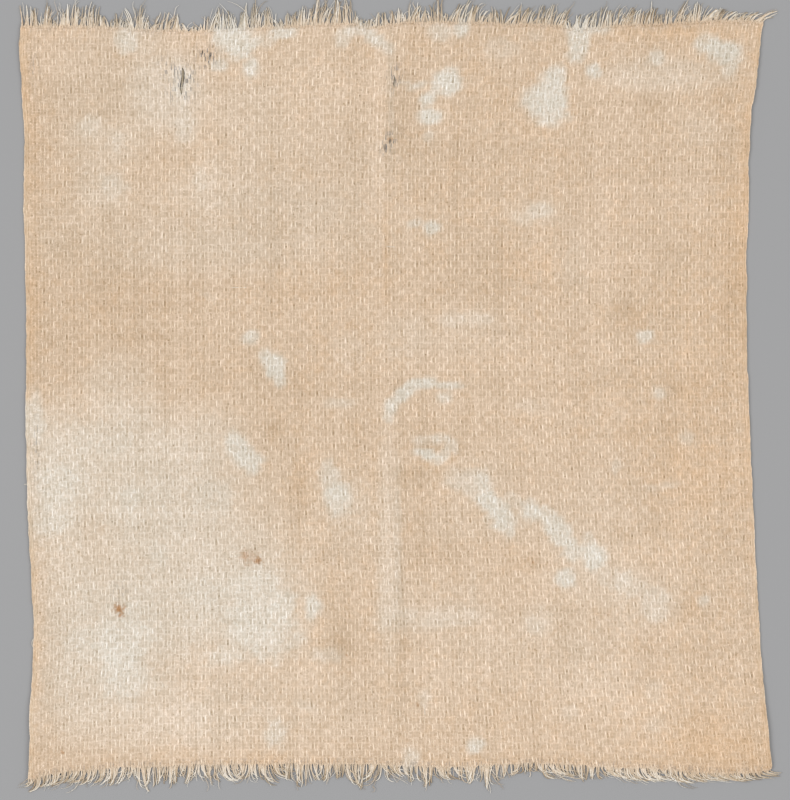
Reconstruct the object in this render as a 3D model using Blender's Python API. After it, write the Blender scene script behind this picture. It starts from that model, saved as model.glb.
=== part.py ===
"""Huckaback linen cloth: one hand-woven width with selvedges at its sides and both cut ends ravelled into fringe.

Metres, +Z up. The cloth lies face up on the surface z = 0, with +X towards its right selvedge and +Y towards
its upper fringe. The origin is under the middle of the box of all three pieces.
"""

import bmesh
import bpy
import numpy as np

MM = 0.001

# Driving dimensions, in millimetres: the four corners of the woven area, (x, y)
BOTTOM_LEFT = (-170.4, -176.2)
BOTTOM_RIGHT = (171.2, -171.6)
TOP_LEFT = (-174.2, 170.2)
TOP_RIGHT = (167.5, 172.0)

CLOTH_THICK = 1.2  # the bulk of a lofty huckaback weave
GAP = 0.3  # between the cloth and the strip of last picks at each end
STRIP_DEEP = 1.8  # how many millimetres of weave still hold the fringe
STRIP_THICK = 1.0
LOCKS = 128  # locks of warp ends at each end of the cloth
LOCK_SHARE = 0.52  # of each lock's pitch that its root takes up
LOCK_STEPS = (0.4, 1.0)  # shares of a lock's run at which its sections stand
TIP_SHARE = 0.5  # of the root's width and height that is left at the tip
TUFT_PITCH = 7  # locks drawn together into one tuft
TUFT_PULL = 0.25  # share of the distance to its tuft's middle that a lock's tip is drawn

GRID_ACROSS = 30  # even columns of the cloth's grid, before those that the folds add
GRID_UP = 30
CREASE_LINES = (-1.2, 0.0, 1.2)  # grid lines on each crease, in half widths from its middle
CREASE_CLEAR = 1.1  # half widths around those lines that the even grid lines keep clear of
CREASE_FADE = 0.05  # share of the cloth over which a crease's end dies away
DEAD_RISE = 0.1  # a rise below this many millimetres lies flat on the surface

# How far each edge bows outwards from the straight line between its corners.
# share runs from the bottom up, or from the left to the right.
LEFT_EDGE = {
    "share": (0.0, 0.04, 0.10, 0.15, 0.21, 0.24, 0.37, 0.48, 0.57, 0.64, 0.77, 0.86, 0.92, 0.975, 1.0),
    "bow": (0.0, -0.6, -1.1, -2.5, -3.0, -2.6, -1.0, -0.4, -1.0, -1.1, -0.7, -1.1, -0.4, 0.6, 0.0),
}
RIGHT_EDGE = {
    "share": (0.0, 0.05, 0.11, 0.17, 0.23, 0.36, 0.44, 0.57, 0.63, 0.76, 0.83, 0.89, 0.94, 0.975, 1.0),
    "bow": (0.0, -1.4, -3.3, -4.7, -5.6, -7.3, -8.3, -9.4, -9.4, -8.1, -7.3, -5.5, -2.8, -1.5, 0.0),
}
BOTTOM_EDGE = {
    "share": (0.0, 0.04, 0.10, 0.16, 0.30, 0.37, 0.47, 0.53, 0.60, 0.69, 0.77, 0.88, 0.93, 0.97, 1.0),
    "bow": (0.0, -2.6, -4.4, -5.2, -5.8, -5.5, -4.8, -3.5, -3.4, -4.2, -2.4, -0.1, 1.5, 1.2, 0.0),
}
TOP_EDGE = {
    "share": (0.0, 0.11, 0.15, 0.23, 0.28, 0.32, 0.38, 0.44, 0.47, 0.51, 0.58, 0.65, 0.71, 0.75, 0.79, 0.86, 0.97,
              1.0),
    "bow": (0.0, -0.2, -1.2, -2.7, -1.7, -1.1, -0.2, 0.3, -0.9, 0.9, 1.0, 0.2, -0.8, -2.3, -1.0, -0.4, 1.0, 0.0),
}

# The creases of old folds, opened out again, as soft ridges. runs says which way a crease goes, place is the share
# of the cloth where it lies, start and end are the shares between which it shows.
CREASES = {
    "runs": ("up", "up", "up", "across"),
    "place": (0.497, 0.255, 0.785, 0.503),
    "start": (0.00, 0.45, 0.05, 0.02),
    "end": (1.00, 0.97, 0.85, 0.98),
    "rise": (1.3, 0.6, 0.6, 0.5),
    "half_width": (0.014, 0.012, 0.014, 0.012),
}

# Where the cloth's rim stands off the surface, by the shares (across, up) of the highest point.
CURLS = {
    "across": (0.0, 0.0, 1.0, 1.0, 1.0, 0.0),
    "up": (0.05, 0.42, 0.05, 0.90, 0.45, 0.97),
    "rise": (2.4, 1.0, 2.2, 1.5, 0.7, 1.2),
    "reach_across": (0.05, 0.03, 0.05, 0.04, 0.03, 0.04),
    "reach_up": (0.08, 0.20, 0.08, 0.10, 0.18, 0.06),
}

# The fringes: how far the locks reach past the woven edge, and how far their tips lean to the right.
TOP_FRINGE = {
    "share": (0.0, 0.04, 0.09, 0.12, 0.16, 0.19, 0.22, 0.26, 0.31, 0.37, 0.43, 0.46, 0.49, 0.55, 0.58, 0.66, 0.74,
              0.82, 0.88, 0.93, 0.96, 1.0),
    "reach": (9.5, 8.0, 10.5, 5.0, 11.0, 9.5, 3.5, 9.5, 10.5, 7.5, 10.5, 3.5, 6.0, 10.0, 5.5, 8.5, 9.5, 9.0, 7.0,
              8.0, 3.0, 5.5),
    "lean": (2.5, 0.5, 2.0, 0.0, 0.5, 0.5, 0.5, 1.5, 1.0, 1.5, 1.5, 0.5, 1.0, 1.5, 3.0, 3.5, 3.5, 2.0, 2.5, 2.5,
             4.0, 5.5),
}
BOTTOM_FRINGE = {
    "share": (0.0, 0.05, 0.10, 0.14, 0.17, 0.21, 0.25, 0.29, 0.33, 0.37, 0.41, 0.46, 0.51, 0.54, 0.58, 0.62, 0.67,
              0.71, 0.76, 0.82, 0.88, 0.94, 1.0),
    "reach": (4.0, 6.0, 6.5, 5.0, 11.5, 10.5, 9.5, 7.5, 9.5, 7.0, 8.0, 11.0, 8.5, 8.0, 7.0, 12.0, 5.0, 7.5, 7.0,
              5.5, 6.0, 4.5, 3.0),
    "lean": (-3.8, -5.0, -4.5, -3.5, 1.0, -1.5, 1.5, 3.0, 0.5, 1.0, 0.5, 2.0, 2.0, 3.0, 3.5, 0.5, -0.5, 3.5, 3.0,
             5.0, 7.0, 7.5, 4.0),
}


def along(table, column, share):
    """The column's value at a share of the way, on a smooth curve through the table's rows (cubic Hermite)."""
    knots = np.array(table["share"])
    values = np.array(table[column])
    slopes = np.gradient(values, knots)
    share = np.asarray(share, float)
    row = np.clip(np.searchsorted(knots, share) - 1, 0, len(knots) - 2)
    span = knots[row + 1] - knots[row]
    t = (share - knots[row]) / span
    start = (1 + 2 * t) * (1 - t) ** 2 * values[row] + t * (1 - t) ** 2 * span * slopes[row]
    end = t**2 * (3 - 2 * t) * values[row + 1] - t**2 * (1 - t) * span * slopes[row + 1]
    return start + end


def between(start, end, share):
    """The points on the straight line from start to end at these shares, with x and y in the last axis."""
    share = np.asarray(share, float)[..., None]
    return np.array(start) * (1 - share) + np.array(end) * share


def in_plan(across, up):
    """Where a point of the cloth lies, from its shares across and up: the patch between the four bowed edges."""
    across = np.asarray(across, float)
    up = np.asarray(up, float)
    left = between(BOTTOM_LEFT, TOP_LEFT, up)
    left[..., 0] -= along(LEFT_EDGE, "bow", up)
    right = between(BOTTOM_RIGHT, TOP_RIGHT, up)
    right[..., 0] += along(RIGHT_EDGE, "bow", up)
    bottom = between(BOTTOM_LEFT, BOTTOM_RIGHT, across)
    bottom[..., 1] -= along(BOTTOM_EDGE, "bow", across)
    top = between(TOP_LEFT, TOP_RIGHT, across)
    top[..., 1] += along(TOP_EDGE, "bow", across)
    s = across[..., None]
    t = up[..., None]
    low = (1 - s) * np.array(BOTTOM_LEFT) + s * np.array(BOTTOM_RIGHT)
    high = (1 - s) * np.array(TOP_LEFT) + s * np.array(TOP_RIGHT)
    corners = (1 - t) * low + t * high
    return (1 - s) * left + s * right + (1 - t) * bottom + t * top - corners


def rows_of(table):
    """The table's rows, each a dictionary by column name."""
    return [dict(zip(table, row)) for row in zip(*table.values())]


def rise(across, up):
    """How high the cloth's underside stands off the surface, in millimetres: its creases and its curled rim."""
    total = np.zeros(np.broadcast(across, up).shape)
    for crease in rows_of(CREASES):
        off, way = (across, up) if crease["runs"] == "up" else (up, across)
        ridge = np.exp(-(((off - crease["place"]) / crease["half_width"]) ** 2))
        begun = np.clip((way - crease["start"]) / CREASE_FADE + 1, 0, 1)
        not_over = np.clip((crease["end"] - way) / CREASE_FADE + 1, 0, 1)
        total = np.maximum(total, crease["rise"] * ridge * begun * not_over)
    for curl in rows_of(CURLS):
        far = ((across - curl["across"]) / curl["reach_across"]) ** 2 + ((up - curl["up"]) / curl["reach_up"]) ** 2
        total = total + curl["rise"] * np.exp(-far)
    return np.maximum(total - DEAD_RISE, 0)


def material(name, color, roughness):
    made = bpy.data.materials.new(name)
    made.use_nodes = True
    shader = made.node_tree.nodes["Principled BSDF"]
    shader.inputs["Base Color"].default_value = (*color, 1)
    shader.inputs["Roughness"].default_value = roughness
    return made


def add_piece(name, bm, collection, finish):
    """Makes the mesh an object of its own in the collection."""
    mesh = bpy.data.meshes.new(name)
    bm.to_mesh(mesh)
    bm.free()
    mesh.materials.append(finish)
    piece = bpy.data.objects.new(name, mesh)
    collection.objects.link(piece)
    return piece


def thicken(bm, thickness):
    """Makes the sheet of faces a closed solid, drawn straight up by this many millimetres."""
    lifted = bmesh.ops.extrude_face_region(bm, geom=bm.faces[:])
    above = [item for item in lifted["geom"] if isinstance(item, bmesh.types.BMVert)]
    bmesh.ops.translate(bm, verts=above, vec=(0, 0, thickness * MM))
    bmesh.ops.recalc_face_normals(bm, faces=bm.faces[:])


def grid_lines(even, creases_run):
    """The shares of the cloth's grid lines: even ones, and three more on each crease that runs along them."""
    lines = set(np.round(np.linspace(0, 1, even + 1), 4))
    for crease in rows_of(CREASES):
        if crease["runs"] == creases_run:
            near = crease["place"] + crease["half_width"] * np.array(CREASE_LINES)
            clear = CREASE_CLEAR * crease["half_width"]
            lines = {line for line in lines if abs(line - near).min() > clear or line in (0, 1)}
            lines |= set(near)
    return np.array(sorted(lines))


def add_cloth(collection):
    """The cloth: a grid between the four edges, raised on its creases and curls, thickened upwards."""
    columns = grid_lines(GRID_ACROSS, "up")
    rows = grid_lines(GRID_UP, "across")
    bm = bmesh.new()
    bmesh.ops.create_grid(bm, x_segments=len(columns) - 1, y_segments=len(rows) - 1, size=0.5)
    edge_inset = (GAP + STRIP_DEEP) / (TOP_LEFT[1] - BOTTOM_LEFT[1])
    for vert in bm.verts:
        across = columns[round((vert.co.x + 0.5) * (len(columns) - 1))]
        up = edge_inset + (1 - 2 * edge_inset) * rows[round((vert.co.y + 0.5) * (len(rows) - 1))]
        x, y = in_plan(across, up)
        vert.co = (x * MM, y * MM, float(rise(across, up)) * MM)
    thicken(bm, CLOTH_THICK)
    return add_piece("cloth", bm, collection, material("linen_face", (0.73, 0.54, 0.36), 0.9))


def on_edge(share, up):
    """A point of the woven edge, on the same straight runs between grid columns as the cloth's own edge."""
    columns = grid_lines(GRID_ACROSS, "up")
    edge = in_plan(columns, up)
    return np.interp(share, columns, edge[:, 0]), np.interp(share, columns, edge[:, 1])


def lock_section(share, fringe, outward, run):
    """One section of the lock rooted at this share of the edge: (middle x, y, the floor under it, height, width)."""
    up = 1 if outward > 0 else 0
    root = on_edge(share, up)
    reach = float(along(fringe, "reach", share))
    lean = float(along(fringe, "lean", share))
    tuft = TUFT_PITCH / LOCKS
    to_middle = (np.floor(share / tuft) + 0.5) * tuft - share
    drawn = TUFT_PULL * to_middle * (BOTTOM_RIGHT[0] - BOTTOM_LEFT[0])
    x = root[0] + lean * run**1.5 + drawn * run**2
    y = root[1] + outward * reach * run
    floor = float(rise(share, up)) * (1 - run) ** 2
    pitch = (BOTTOM_RIGHT[0] - BOTTOM_LEFT[0]) / LOCKS
    upright = reach / np.hypot(reach, lean)
    width = pitch * LOCK_SHARE * (1 - (1 - TIP_SHARE) * run) * (upright if run else 1)
    height = STRIP_THICK * (1 - (1 - TIP_SHARE) * run)
    return x, y, floor, height, width


def add_fringe(name, fringe, outward, collection, finish):
    """A fringe: the strip of last picks along the woven edge, and its locks drawn out of the strip's outer wall."""
    up = 1 if outward > 0 else 0
    cells = 2 * LOCKS + 1  # gap, lock, gap, ... gap
    pitch = 1 / LOCKS
    bounds = [0.0]
    for lock in range(LOCKS):
        middle = (lock + 0.5) * pitch
        bounds += [middle - LOCK_SHARE * pitch / 2, middle + LOCK_SHARE * pitch / 2]
    bounds.append(1.0)
    bm = bmesh.new()
    bmesh.ops.create_grid(bm, x_segments=cells, y_segments=1, size=0.5)
    for vert in bm.verts:
        share = bounds[round((vert.co.x + 0.5) * cells)]
        outer = (vert.co.y > 0) == (outward > 0)
        x, y = on_edge(share, up)
        if not outer:
            y -= outward * STRIP_DEEP
        vert.co = (x * MM, y * MM, float(rise(share, up)) * MM)
    thicken(bm, STRIP_THICK)

    walls = [face for face in bm.faces if abs(face.normal.z) < 0.5 and face.normal.y * outward > 0.5]
    walls.sort(key=lambda face: face.calc_center_median().x)
    roots = walls[1::2]
    for run in LOCK_STEPS:
        drawn_out = bmesh.ops.extrude_discrete_faces(bm, faces=roots)
        roots = sorted(drawn_out["faces"], key=lambda face: face.calc_center_median().x)
        for lock, face in enumerate(roots):
            middle = face.calc_center_median()
            sides = [(np.sign(v.co.x - middle.x), v.co.z > middle.z, v) for v in face.verts]
            x, y, floor, height, width = lock_section((lock + 0.5) * pitch, fringe, outward, run)
            for side, high, vert in sides:
                z = floor + (height if high else 0)
                vert.co = ((x + side * width / 2) * MM, y * MM, z * MM)
    bmesh.ops.recalc_face_normals(bm, faces=bm.faces[:])
    return add_piece(name, bm, collection, finish)


def centre(pieces):
    """Shifts the pieces alike, so that the middle of their common box stands over the origin."""
    bpy.context.view_layer.update()
    points = np.array([piece.matrix_world @ v.co for piece in pieces for v in piece.data.vertices])
    middle = (points.min(axis=0) + points.max(axis=0)) / 2
    for piece in pieces:
        for vert in piece.data.vertices:
            vert.co.x -= middle[0]
            vert.co.y -= middle[1]
    return middle


def main():
    for leftover in list(bpy.data.objects):
        bpy.data.objects.remove(leftover)
    collection = bpy.data.collections.new("linen_cloth")
    bpy.context.scene.collection.children.link(collection)
    thread = material("warp_ends", (0.80, 0.64, 0.45), 0.9)
    cloth = add_cloth(collection)
    top = add_fringe("fringe_top", TOP_FRINGE, 1, collection, thread)
    bottom = add_fringe("fringe_bottom", BOTTOM_FRINGE, -1, collection, thread)
    shift = centre([cloth, top, bottom])
    print("shifted by", [round(float(value) / MM, 2) for value in shift[:2]], "mm")


main()
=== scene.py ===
# %% [markdown]
# # A worn linen cloth, laid out flat
# The real cloth is one width of hand-woven huckaback: plain linen weave with small pairs of warp ends that
# float over five picks, staggered like bricks. Its long sides are selvedges, and its two cut ends have
# ravelled into fringe. It has turned tan with age, and bleach or water has left pale patches on it.
# The solids that were packed hold its outline, creases and fringe locks. They come in first as a fixed frame,
# and everything below is built on top of them.

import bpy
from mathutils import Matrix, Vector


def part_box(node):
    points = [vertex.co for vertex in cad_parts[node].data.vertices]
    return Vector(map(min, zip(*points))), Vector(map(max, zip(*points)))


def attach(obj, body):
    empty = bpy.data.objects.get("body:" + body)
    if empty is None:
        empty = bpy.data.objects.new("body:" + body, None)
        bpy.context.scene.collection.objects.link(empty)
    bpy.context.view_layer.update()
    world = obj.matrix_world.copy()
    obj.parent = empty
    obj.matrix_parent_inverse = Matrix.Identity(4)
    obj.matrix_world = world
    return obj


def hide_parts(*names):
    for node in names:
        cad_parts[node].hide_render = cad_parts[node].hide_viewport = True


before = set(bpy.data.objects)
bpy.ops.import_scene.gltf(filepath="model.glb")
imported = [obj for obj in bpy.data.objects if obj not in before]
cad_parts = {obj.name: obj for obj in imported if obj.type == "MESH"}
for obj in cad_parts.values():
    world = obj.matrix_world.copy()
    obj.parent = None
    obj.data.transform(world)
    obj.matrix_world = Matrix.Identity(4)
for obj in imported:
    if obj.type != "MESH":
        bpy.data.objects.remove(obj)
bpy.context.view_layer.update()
print("packed nodes:", sorted(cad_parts))

# %% Modules and units
import math

import bpy
import numpy as np

MM = 0.001  # shapes below are worked out in millimetres, and put into the meshes in metres

# %% [markdown]
# ## Where the camera stands
# The cloth was photographed from straight above on a copy stand. Places on it are easiest to read off the
# picture, so the tables below hold picture coordinates, and this cell turns them into millimetres.
# A long lens keeps the cloth's edges from spreading.

# %% Picture coordinates to millimetres
PIXEL = 0.46  # millimetres of cloth for each pixel of the picture
PICTURE = (790, 800)
ORIGIN_PX = (400.4, 395.2)  # the pixel over the frame's origin
LENS = 100
SENSOR = 36


def at_pixel(x_px, y_px):
    """Frame millimetres of a picture point: x grows with the column, and y falls with the row."""
    return (np.asarray(x_px) - ORIGIN_PX[0]) * PIXEL, (ORIGIN_PX[1] - np.asarray(y_px)) * PIXEL


camera_data = bpy.data.cameras.new("copy_stand_camera")
camera_data.lens = LENS
camera_data.sensor_width = SENSOR
camera = bpy.data.objects.new("copy_stand_camera", camera_data)
camera_x, camera_y = at_pixel(PICTURE[0] / 2, PICTURE[1] / 2)
camera_height = PIXEL * MM * max(PICTURE) * LENS / SENSOR
camera.location = (camera_x * MM, camera_y * MM, camera_height)
bpy.context.scene.collection.objects.link(camera)
bpy.context.scene.camera = camera
print("camera", [round(value, 4) for value in camera.location], "m")

# %% [markdown]
# ## Unevenness without chance
# Old cloth is never even, but the scene has to come out the same each time. Smooth noise here is a lattice
# of seeded random values with a soft curve between its points, so it can be worked out for whole arrays.


# %% Smooth noise
def smooth_step(t):
    """Three t squared less two t cubed, which leaves 0 and reaches 1 level."""
    t = np.clip(t, 0, 1)
    return t * t * (3 - 2 * t)


LATTICE = 256  # points each way, after which the noise repeats


def blotches(x, y, size, seed):
    """Smooth noise from -1 to 1: a lattice of random values, size apart, blended with a smooth step."""
    x, y = np.broadcast_arrays(np.asarray(x, float), np.asarray(y, float))
    wide, high = (size, size) if np.isscalar(size) else size
    lattice = np.random.default_rng(seed).uniform(-1, 1, (LATTICE, LATTICE))
    column, row = x / wide + LATTICE / 2, y / high + LATTICE / 2
    i, j = (np.floor(place).astype(int) % (LATTICE - 1) for place in (column, row))
    s, t = smooth_step(column - np.floor(column)), smooth_step(row - np.floor(row))
    low = lattice[j, i] * (1 - s) + lattice[j, i + 1] * s
    high_row = lattice[j + 1, i] * (1 - s) + lattice[j + 1, i + 1] * s
    return low * (1 - t) + high_row * t


def layers(x, y, table, base=0.0):
    """The base plus several noises: each row of the table has a lattice size, a seed and an amount."""
    return sum((amount * blotches(x, y, size, seed) for size, seed, amount in table), base)


print("noise at the origin", round(float(blotches(0.0, 0.0, 10, 1)), 3))

# %% [markdown]
# ## The cloth's outline
# No hand-woven cloth is a true square. Each edge here bows a little from the straight line between its
# corners, and a point inside is found from its shares across and up by a Coons patch: the two side edges
# blended across, plus the two ends blended up, less the corners that both of them count.
# The tables are those of the solids, so that the fine surface lies on them.

# %% The four edges
BOTTOM_LEFT = (-170.4, -176.2)
BOTTOM_RIGHT = (171.2, -171.6)
TOP_LEFT = (-174.2, 170.2)
TOP_RIGHT = (167.5, 172.0)
LEFT_EDGE = {
    "share": (0.0, 0.04, 0.10, 0.15, 0.21, 0.24, 0.37, 0.48, 0.57, 0.64, 0.77, 0.86, 0.92, 0.975, 1.0),
    "bow": (0.0, -0.6, -1.1, -2.5, -3.0, -2.6, -1.0, -0.4, -1.0, -1.1, -0.7, -1.1, -0.4, 0.6, 0.0),
}
RIGHT_EDGE = {
    "share": (0.0, 0.05, 0.11, 0.17, 0.23, 0.36, 0.44, 0.57, 0.63, 0.76, 0.83, 0.89, 0.94, 0.975, 1.0),
    "bow": (0.0, -1.4, -3.3, -4.7, -5.6, -7.3, -8.3, -9.4, -9.4, -8.1, -7.3, -5.5, -2.8, -1.5, 0.0),
}
BOTTOM_EDGE = {
    "share": (0.0, 0.04, 0.10, 0.16, 0.30, 0.37, 0.47, 0.53, 0.60, 0.69, 0.77, 0.88, 0.93, 0.97, 1.0),
    "bow": (0.0, -2.6, -4.4, -5.2, -5.8, -5.5, -4.8, -3.5, -3.4, -4.2, -2.4, -0.1, 1.5, 1.2, 0.0),
}
TOP_EDGE = {
    "share": (0.0, 0.11, 0.15, 0.23, 0.28, 0.32, 0.38, 0.44, 0.47,
              0.51, 0.58, 0.65, 0.71, 0.75, 0.79, 0.86, 0.97, 1.0),
    "bow": (0.0, -0.2, -1.2, -2.7, -1.7, -1.1, -0.2, 0.3, -0.9,
            0.9, 1.0, 0.2, -0.8, -2.3, -1.0, -0.4, 1.0, 0.0),
}
print("corners", BOTTOM_LEFT, BOTTOM_RIGHT, TOP_LEFT, TOP_RIGHT, "mm")


# %% Points between the edges
def along(table, column, share):
    """The column's value at a share of the way: a cubic Hermite curve through the table's rows."""
    knots = np.array(table["share"])
    values = np.array(table[column])
    slopes = np.gradient(values, knots)
    share = np.asarray(share, float)
    row = np.clip(np.searchsorted(knots, share) - 1, 0, len(knots) - 2)
    span = knots[row + 1] - knots[row]
    t = (share - knots[row]) / span
    start = (1 + 2 * t) * (1 - t) ** 2 * values[row] + t * (1 - t) ** 2 * span * slopes[row]
    end = t**2 * (3 - 2 * t) * values[row + 1] - t**2 * (1 - t) * span * slopes[row + 1]
    return start + end


def between(start, end, share):
    """Points on the straight line from start to end: start times the share left, plus end times the share."""
    share = np.asarray(share, float)[..., None]
    return np.array(start) * (1 - share) + np.array(end) * share


def patch_between_edges(across, up):
    """The Coons patch: sides blended across, plus ends blended up, less the corners blended both ways."""
    across, up = np.broadcast_arrays(np.asarray(across, float), np.asarray(up, float))
    left, right = between(BOTTOM_LEFT, TOP_LEFT, up), between(BOTTOM_RIGHT, TOP_RIGHT, up)
    bottom, top = between(BOTTOM_LEFT, BOTTOM_RIGHT, across), between(TOP_LEFT, TOP_RIGHT, across)
    left[..., 0] -= along(LEFT_EDGE, "bow", up)
    right[..., 0] += along(RIGHT_EDGE, "bow", up)
    bottom[..., 1] -= along(BOTTOM_EDGE, "bow", across)
    top[..., 1] += along(TOP_EDGE, "bow", across)
    s, t = across[..., None], up[..., None]
    corners = (1 - t) * between(BOTTOM_LEFT, BOTTOM_RIGHT, across) + t * between(TOP_LEFT, TOP_RIGHT, across)
    return (1 - s) * left + s * right + (1 - t) * bottom + t * top - corners


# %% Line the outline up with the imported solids
SOLID_INSET = 2.1  # the cloth's solid ends this far inside each woven end, where the fringe's strip begins

solid_low, solid_high = (np.array(corner[:2]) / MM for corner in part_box("cloth"))
inset_share = SOLID_INSET / (TOP_LEFT[1] - BOTTOM_LEFT[1])
shares = np.linspace(0, 1, 241)
drawn = patch_between_edges(*np.meshgrid(shares, inset_share + (1 - 2 * inset_share) * shares))
SHIFT = (solid_low + solid_high) / 2 - (drawn.min(axis=(0, 1)) + drawn.max(axis=(0, 1))) / 2
WIDTH = BOTTOM_RIGHT[0] - BOTTOM_LEFT[0]
LENGTH = TOP_LEFT[1] - BOTTOM_LEFT[1]

# %% Edges that waver
# Each noise of an edge has a lattice size in millimetres, a seed and a push; reach is where it dies away
RIPPLES = {"reach": 3.0, "noise": ((9.0, 90, 0.30), (2.4, 90, 0.20))}  # of the selvedges
STEPS = {"reach": 1.6, "noise": ((7.0, 91, 0.25), (3.2, 91, 0.40))}  # of the cut ends, where picks fell out
OTHER_SIDE = 300.0  # how far off an edge reads its noise from the edge across from it


def to_side(across):
    """Millimetres to the nearer selvedge."""
    return np.minimum(across, 1 - across) * WIDTH


def to_end(up):
    """Millimetres to the nearer cut end."""
    return np.minimum(up, 1 - up) * LENGTH


def waver(share, distance, place, edge):
    """Push off the straight edge: noise along it, times e to the minus distance over reach."""
    near = np.exp(-distance / edge["reach"]) * np.sign(share - 0.5)
    return near * layers(place, (share > 0.5) * OTHER_SIDE, edge["noise"])


def in_plan(across, up):
    """Where a point of the cloth lies in the frame, in millimetres: the patch, shifted onto the solids, with
    wavering edges."""
    plan = patch_between_edges(across, up) + SHIFT
    across, up = np.broadcast_arrays(np.asarray(across, float), np.asarray(up, float))
    plan[..., 0] += waver(across, to_side(across), up * LENGTH, RIPPLES)
    plan[..., 1] += waver(up, to_end(up), across * WIDTH, STEPS)
    return plan


print("outline shifted by", SHIFT.round(2), "mm")

# %% [markdown]
# ## Counting the weave
# A block of huckaback is ten ends wide and ten picks high. The sett isn't even: the blocks are wider near
# the middle and narrower at the right, as the reed spread them. So the number of blocks up to a place is
# the running sum of small steps, each divided by the local pitch, and the way back is read off that curve.

# %% Blocks across and up
BLOCK_WIDTH = {
    "share": (0.0, 0.12, 0.24, 0.34, 0.48, 0.56, 0.64, 0.73, 0.84, 1.0),
    "pitch": (7.00, 7.15, 7.30, 7.10, 7.35, 7.50, 7.10, 6.90, 6.60, 6.60),
}
BLOCK_HEIGHT = {
    "share": (0.0, 0.11, 0.19, 0.27, 0.39, 0.51, 0.63, 0.80, 1.0),
    "pitch": (6.55, 6.58, 6.28, 6.42, 6.15, 6.26, 6.39, 6.65, 6.60),
}
ENDS = 10  # warp ends, and picks, in a block


def count_up(table, size):
    """Shares of the way, and the number of blocks up to each: the running sum of step over pitch."""
    share = np.linspace(0, 1, 2001)
    steps = size * np.diff(share) / along(table, "pitch", (share[1:] + share[:-1]) / 2)
    return share, np.concatenate([[0], np.cumsum(steps)])


SHARE_STEPS, BLOCKS_ACROSS = count_up(BLOCK_WIDTH, WIDTH)
_, BLOCKS_UP = count_up(BLOCK_HEIGHT, LENGTH)
BLOCKS_WIDE, BLOCKS_HIGH = BLOCKS_ACROSS[-1], BLOCKS_UP[-1]


def across_at(block):
    return np.interp(block, BLOCKS_ACROSS, SHARE_STEPS)


def up_at(block):
    return np.interp(block, BLOCKS_UP, SHARE_STEPS)


print(f"{BLOCKS_WIDE * ENDS:.0f} ends across, {BLOCKS_HIGH * ENDS:.0f} picks up")

# %% [markdown]
# ## Height above the table
# Laid cloth touches the table nearly everywhere. It stands off along the old fold lines, which stay as soft
# ridges, and at its rim where the selvedge curls. The ridge is a bell curve across the crease, as on the
# solids. On top of that come a low unevenness, and the pillows of the weave, which swell where warp ends
# float and sink where the weave is plain: one cosine across times one cosine up.

# %% Creases and curls
CREASES = {
    "runs": ("up", "up", "up", "across"),
    "place": (0.497, 0.255, 0.785, 0.503),
    "start": (0.00, 0.45, 0.05, 0.02),
    "end": (1.00, 0.97, 0.85, 0.98),
    "rise": (1.3, 0.6, 0.6, 0.5),
    "half_width": (0.014, 0.012, 0.014, 0.012),
}
CURLS = {
    "across": (0.0, 0.0, 1.0, 1.0, 1.0, 0.0),
    "up": (0.05, 0.42, 0.05, 0.90, 0.45, 0.97),
    "rise": (2.4, 1.0, 2.2, 1.5, 0.7, 1.2),
    "reach_across": (0.05, 0.03, 0.05, 0.04, 0.03, 0.04),
    "reach_up": (0.08, 0.20, 0.08, 0.10, 0.18, 0.06),
}
CREASE_FADE = 0.05  # share of the cloth over which a crease's end dies away
DEAD_RISE = 0.1  # millimetres of rise that lie flat


def rows_of(table):
    """The table's rows, each a dictionary by column name."""
    return [dict(zip(table, row)) for row in zip(*table.values())]


def rise(across, up):
    """Height of the underside: the highest crease there, plus the curls, less what lies dead flat."""
    total = np.zeros(np.broadcast(across, up).shape)
    for crease in rows_of(CREASES):
        off, way = (across, up) if crease["runs"] == "up" else (up, across)
        ridge = np.exp(-(((off - crease["place"]) / crease["half_width"]) ** 2))
        begun = np.clip((way - crease["start"]) / CREASE_FADE + 1, 0, 1)
        not_over = np.clip((crease["end"] - way) / CREASE_FADE + 1, 0, 1)
        total = np.maximum(total, crease["rise"] * ridge * begun * not_over)
    for curl in rows_of(CURLS):
        far_across = (across - curl["across"]) / curl["reach_across"]
        far_up = (up - curl["up"]) / curl["reach_up"]
        total = total + curl["rise"] * np.exp(-(far_across**2 + far_up**2))
    return np.maximum(total - DEAD_RISE, 0)


# %% The two faces of the cloth
THICK = 0.70  # between the picks of the plain weave
PILLOW = 0.06  # how far a float block swells, and a plain one sinks
SETTLED = 0.45  # the laid cloth has sunk to this share of its solid's rise
LOFT = 0.16  # how far the cloth stands off the table where it doesn't lie quite flat
UNEVEN = ((34, 1, 0.35), (13, 2, 0.15))  # lattice size, seed and amount of that unevenness, about a half
FLAT_SIDE = 9  # it grows over this far from a selvedge
RIM_REACH = 1.1  # the face rounds down over about this far from an edge
RIM_DROP = 0.4  # share of the thickness that is gone at the very edge


def underside(across, up):
    """The settled rise of creases and curls, plus a low unevenness of two sizes, never below the table."""
    uneven = layers(across * WIDTH, up * LENGTH, UNEVEN, 0.5)
    return SETTLED * rise(across, up) + LOFT * uneven * smooth_step(to_side(across) / FLAT_SIDE)


def face(across, up, blocks_over, blocks_along):
    """The upper side: the underside plus the thickness, rounded down at the rim, plus the weave's pillows."""
    to_edge = np.minimum(to_side(across), to_end(up))
    rounding = 1 - RIM_DROP * np.exp(-((to_edge / RIM_REACH) ** 2))
    swell = np.cos(2 * np.pi * (blocks_over - 0.25)) * np.cos(2 * np.pi * (blocks_along - 0.25))
    return underside(across, up) + THICK * rounding + PILLOW * swell


print("height of the middle crease", round(float(rise(0.497, 0.5)), 2), "mm")

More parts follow.
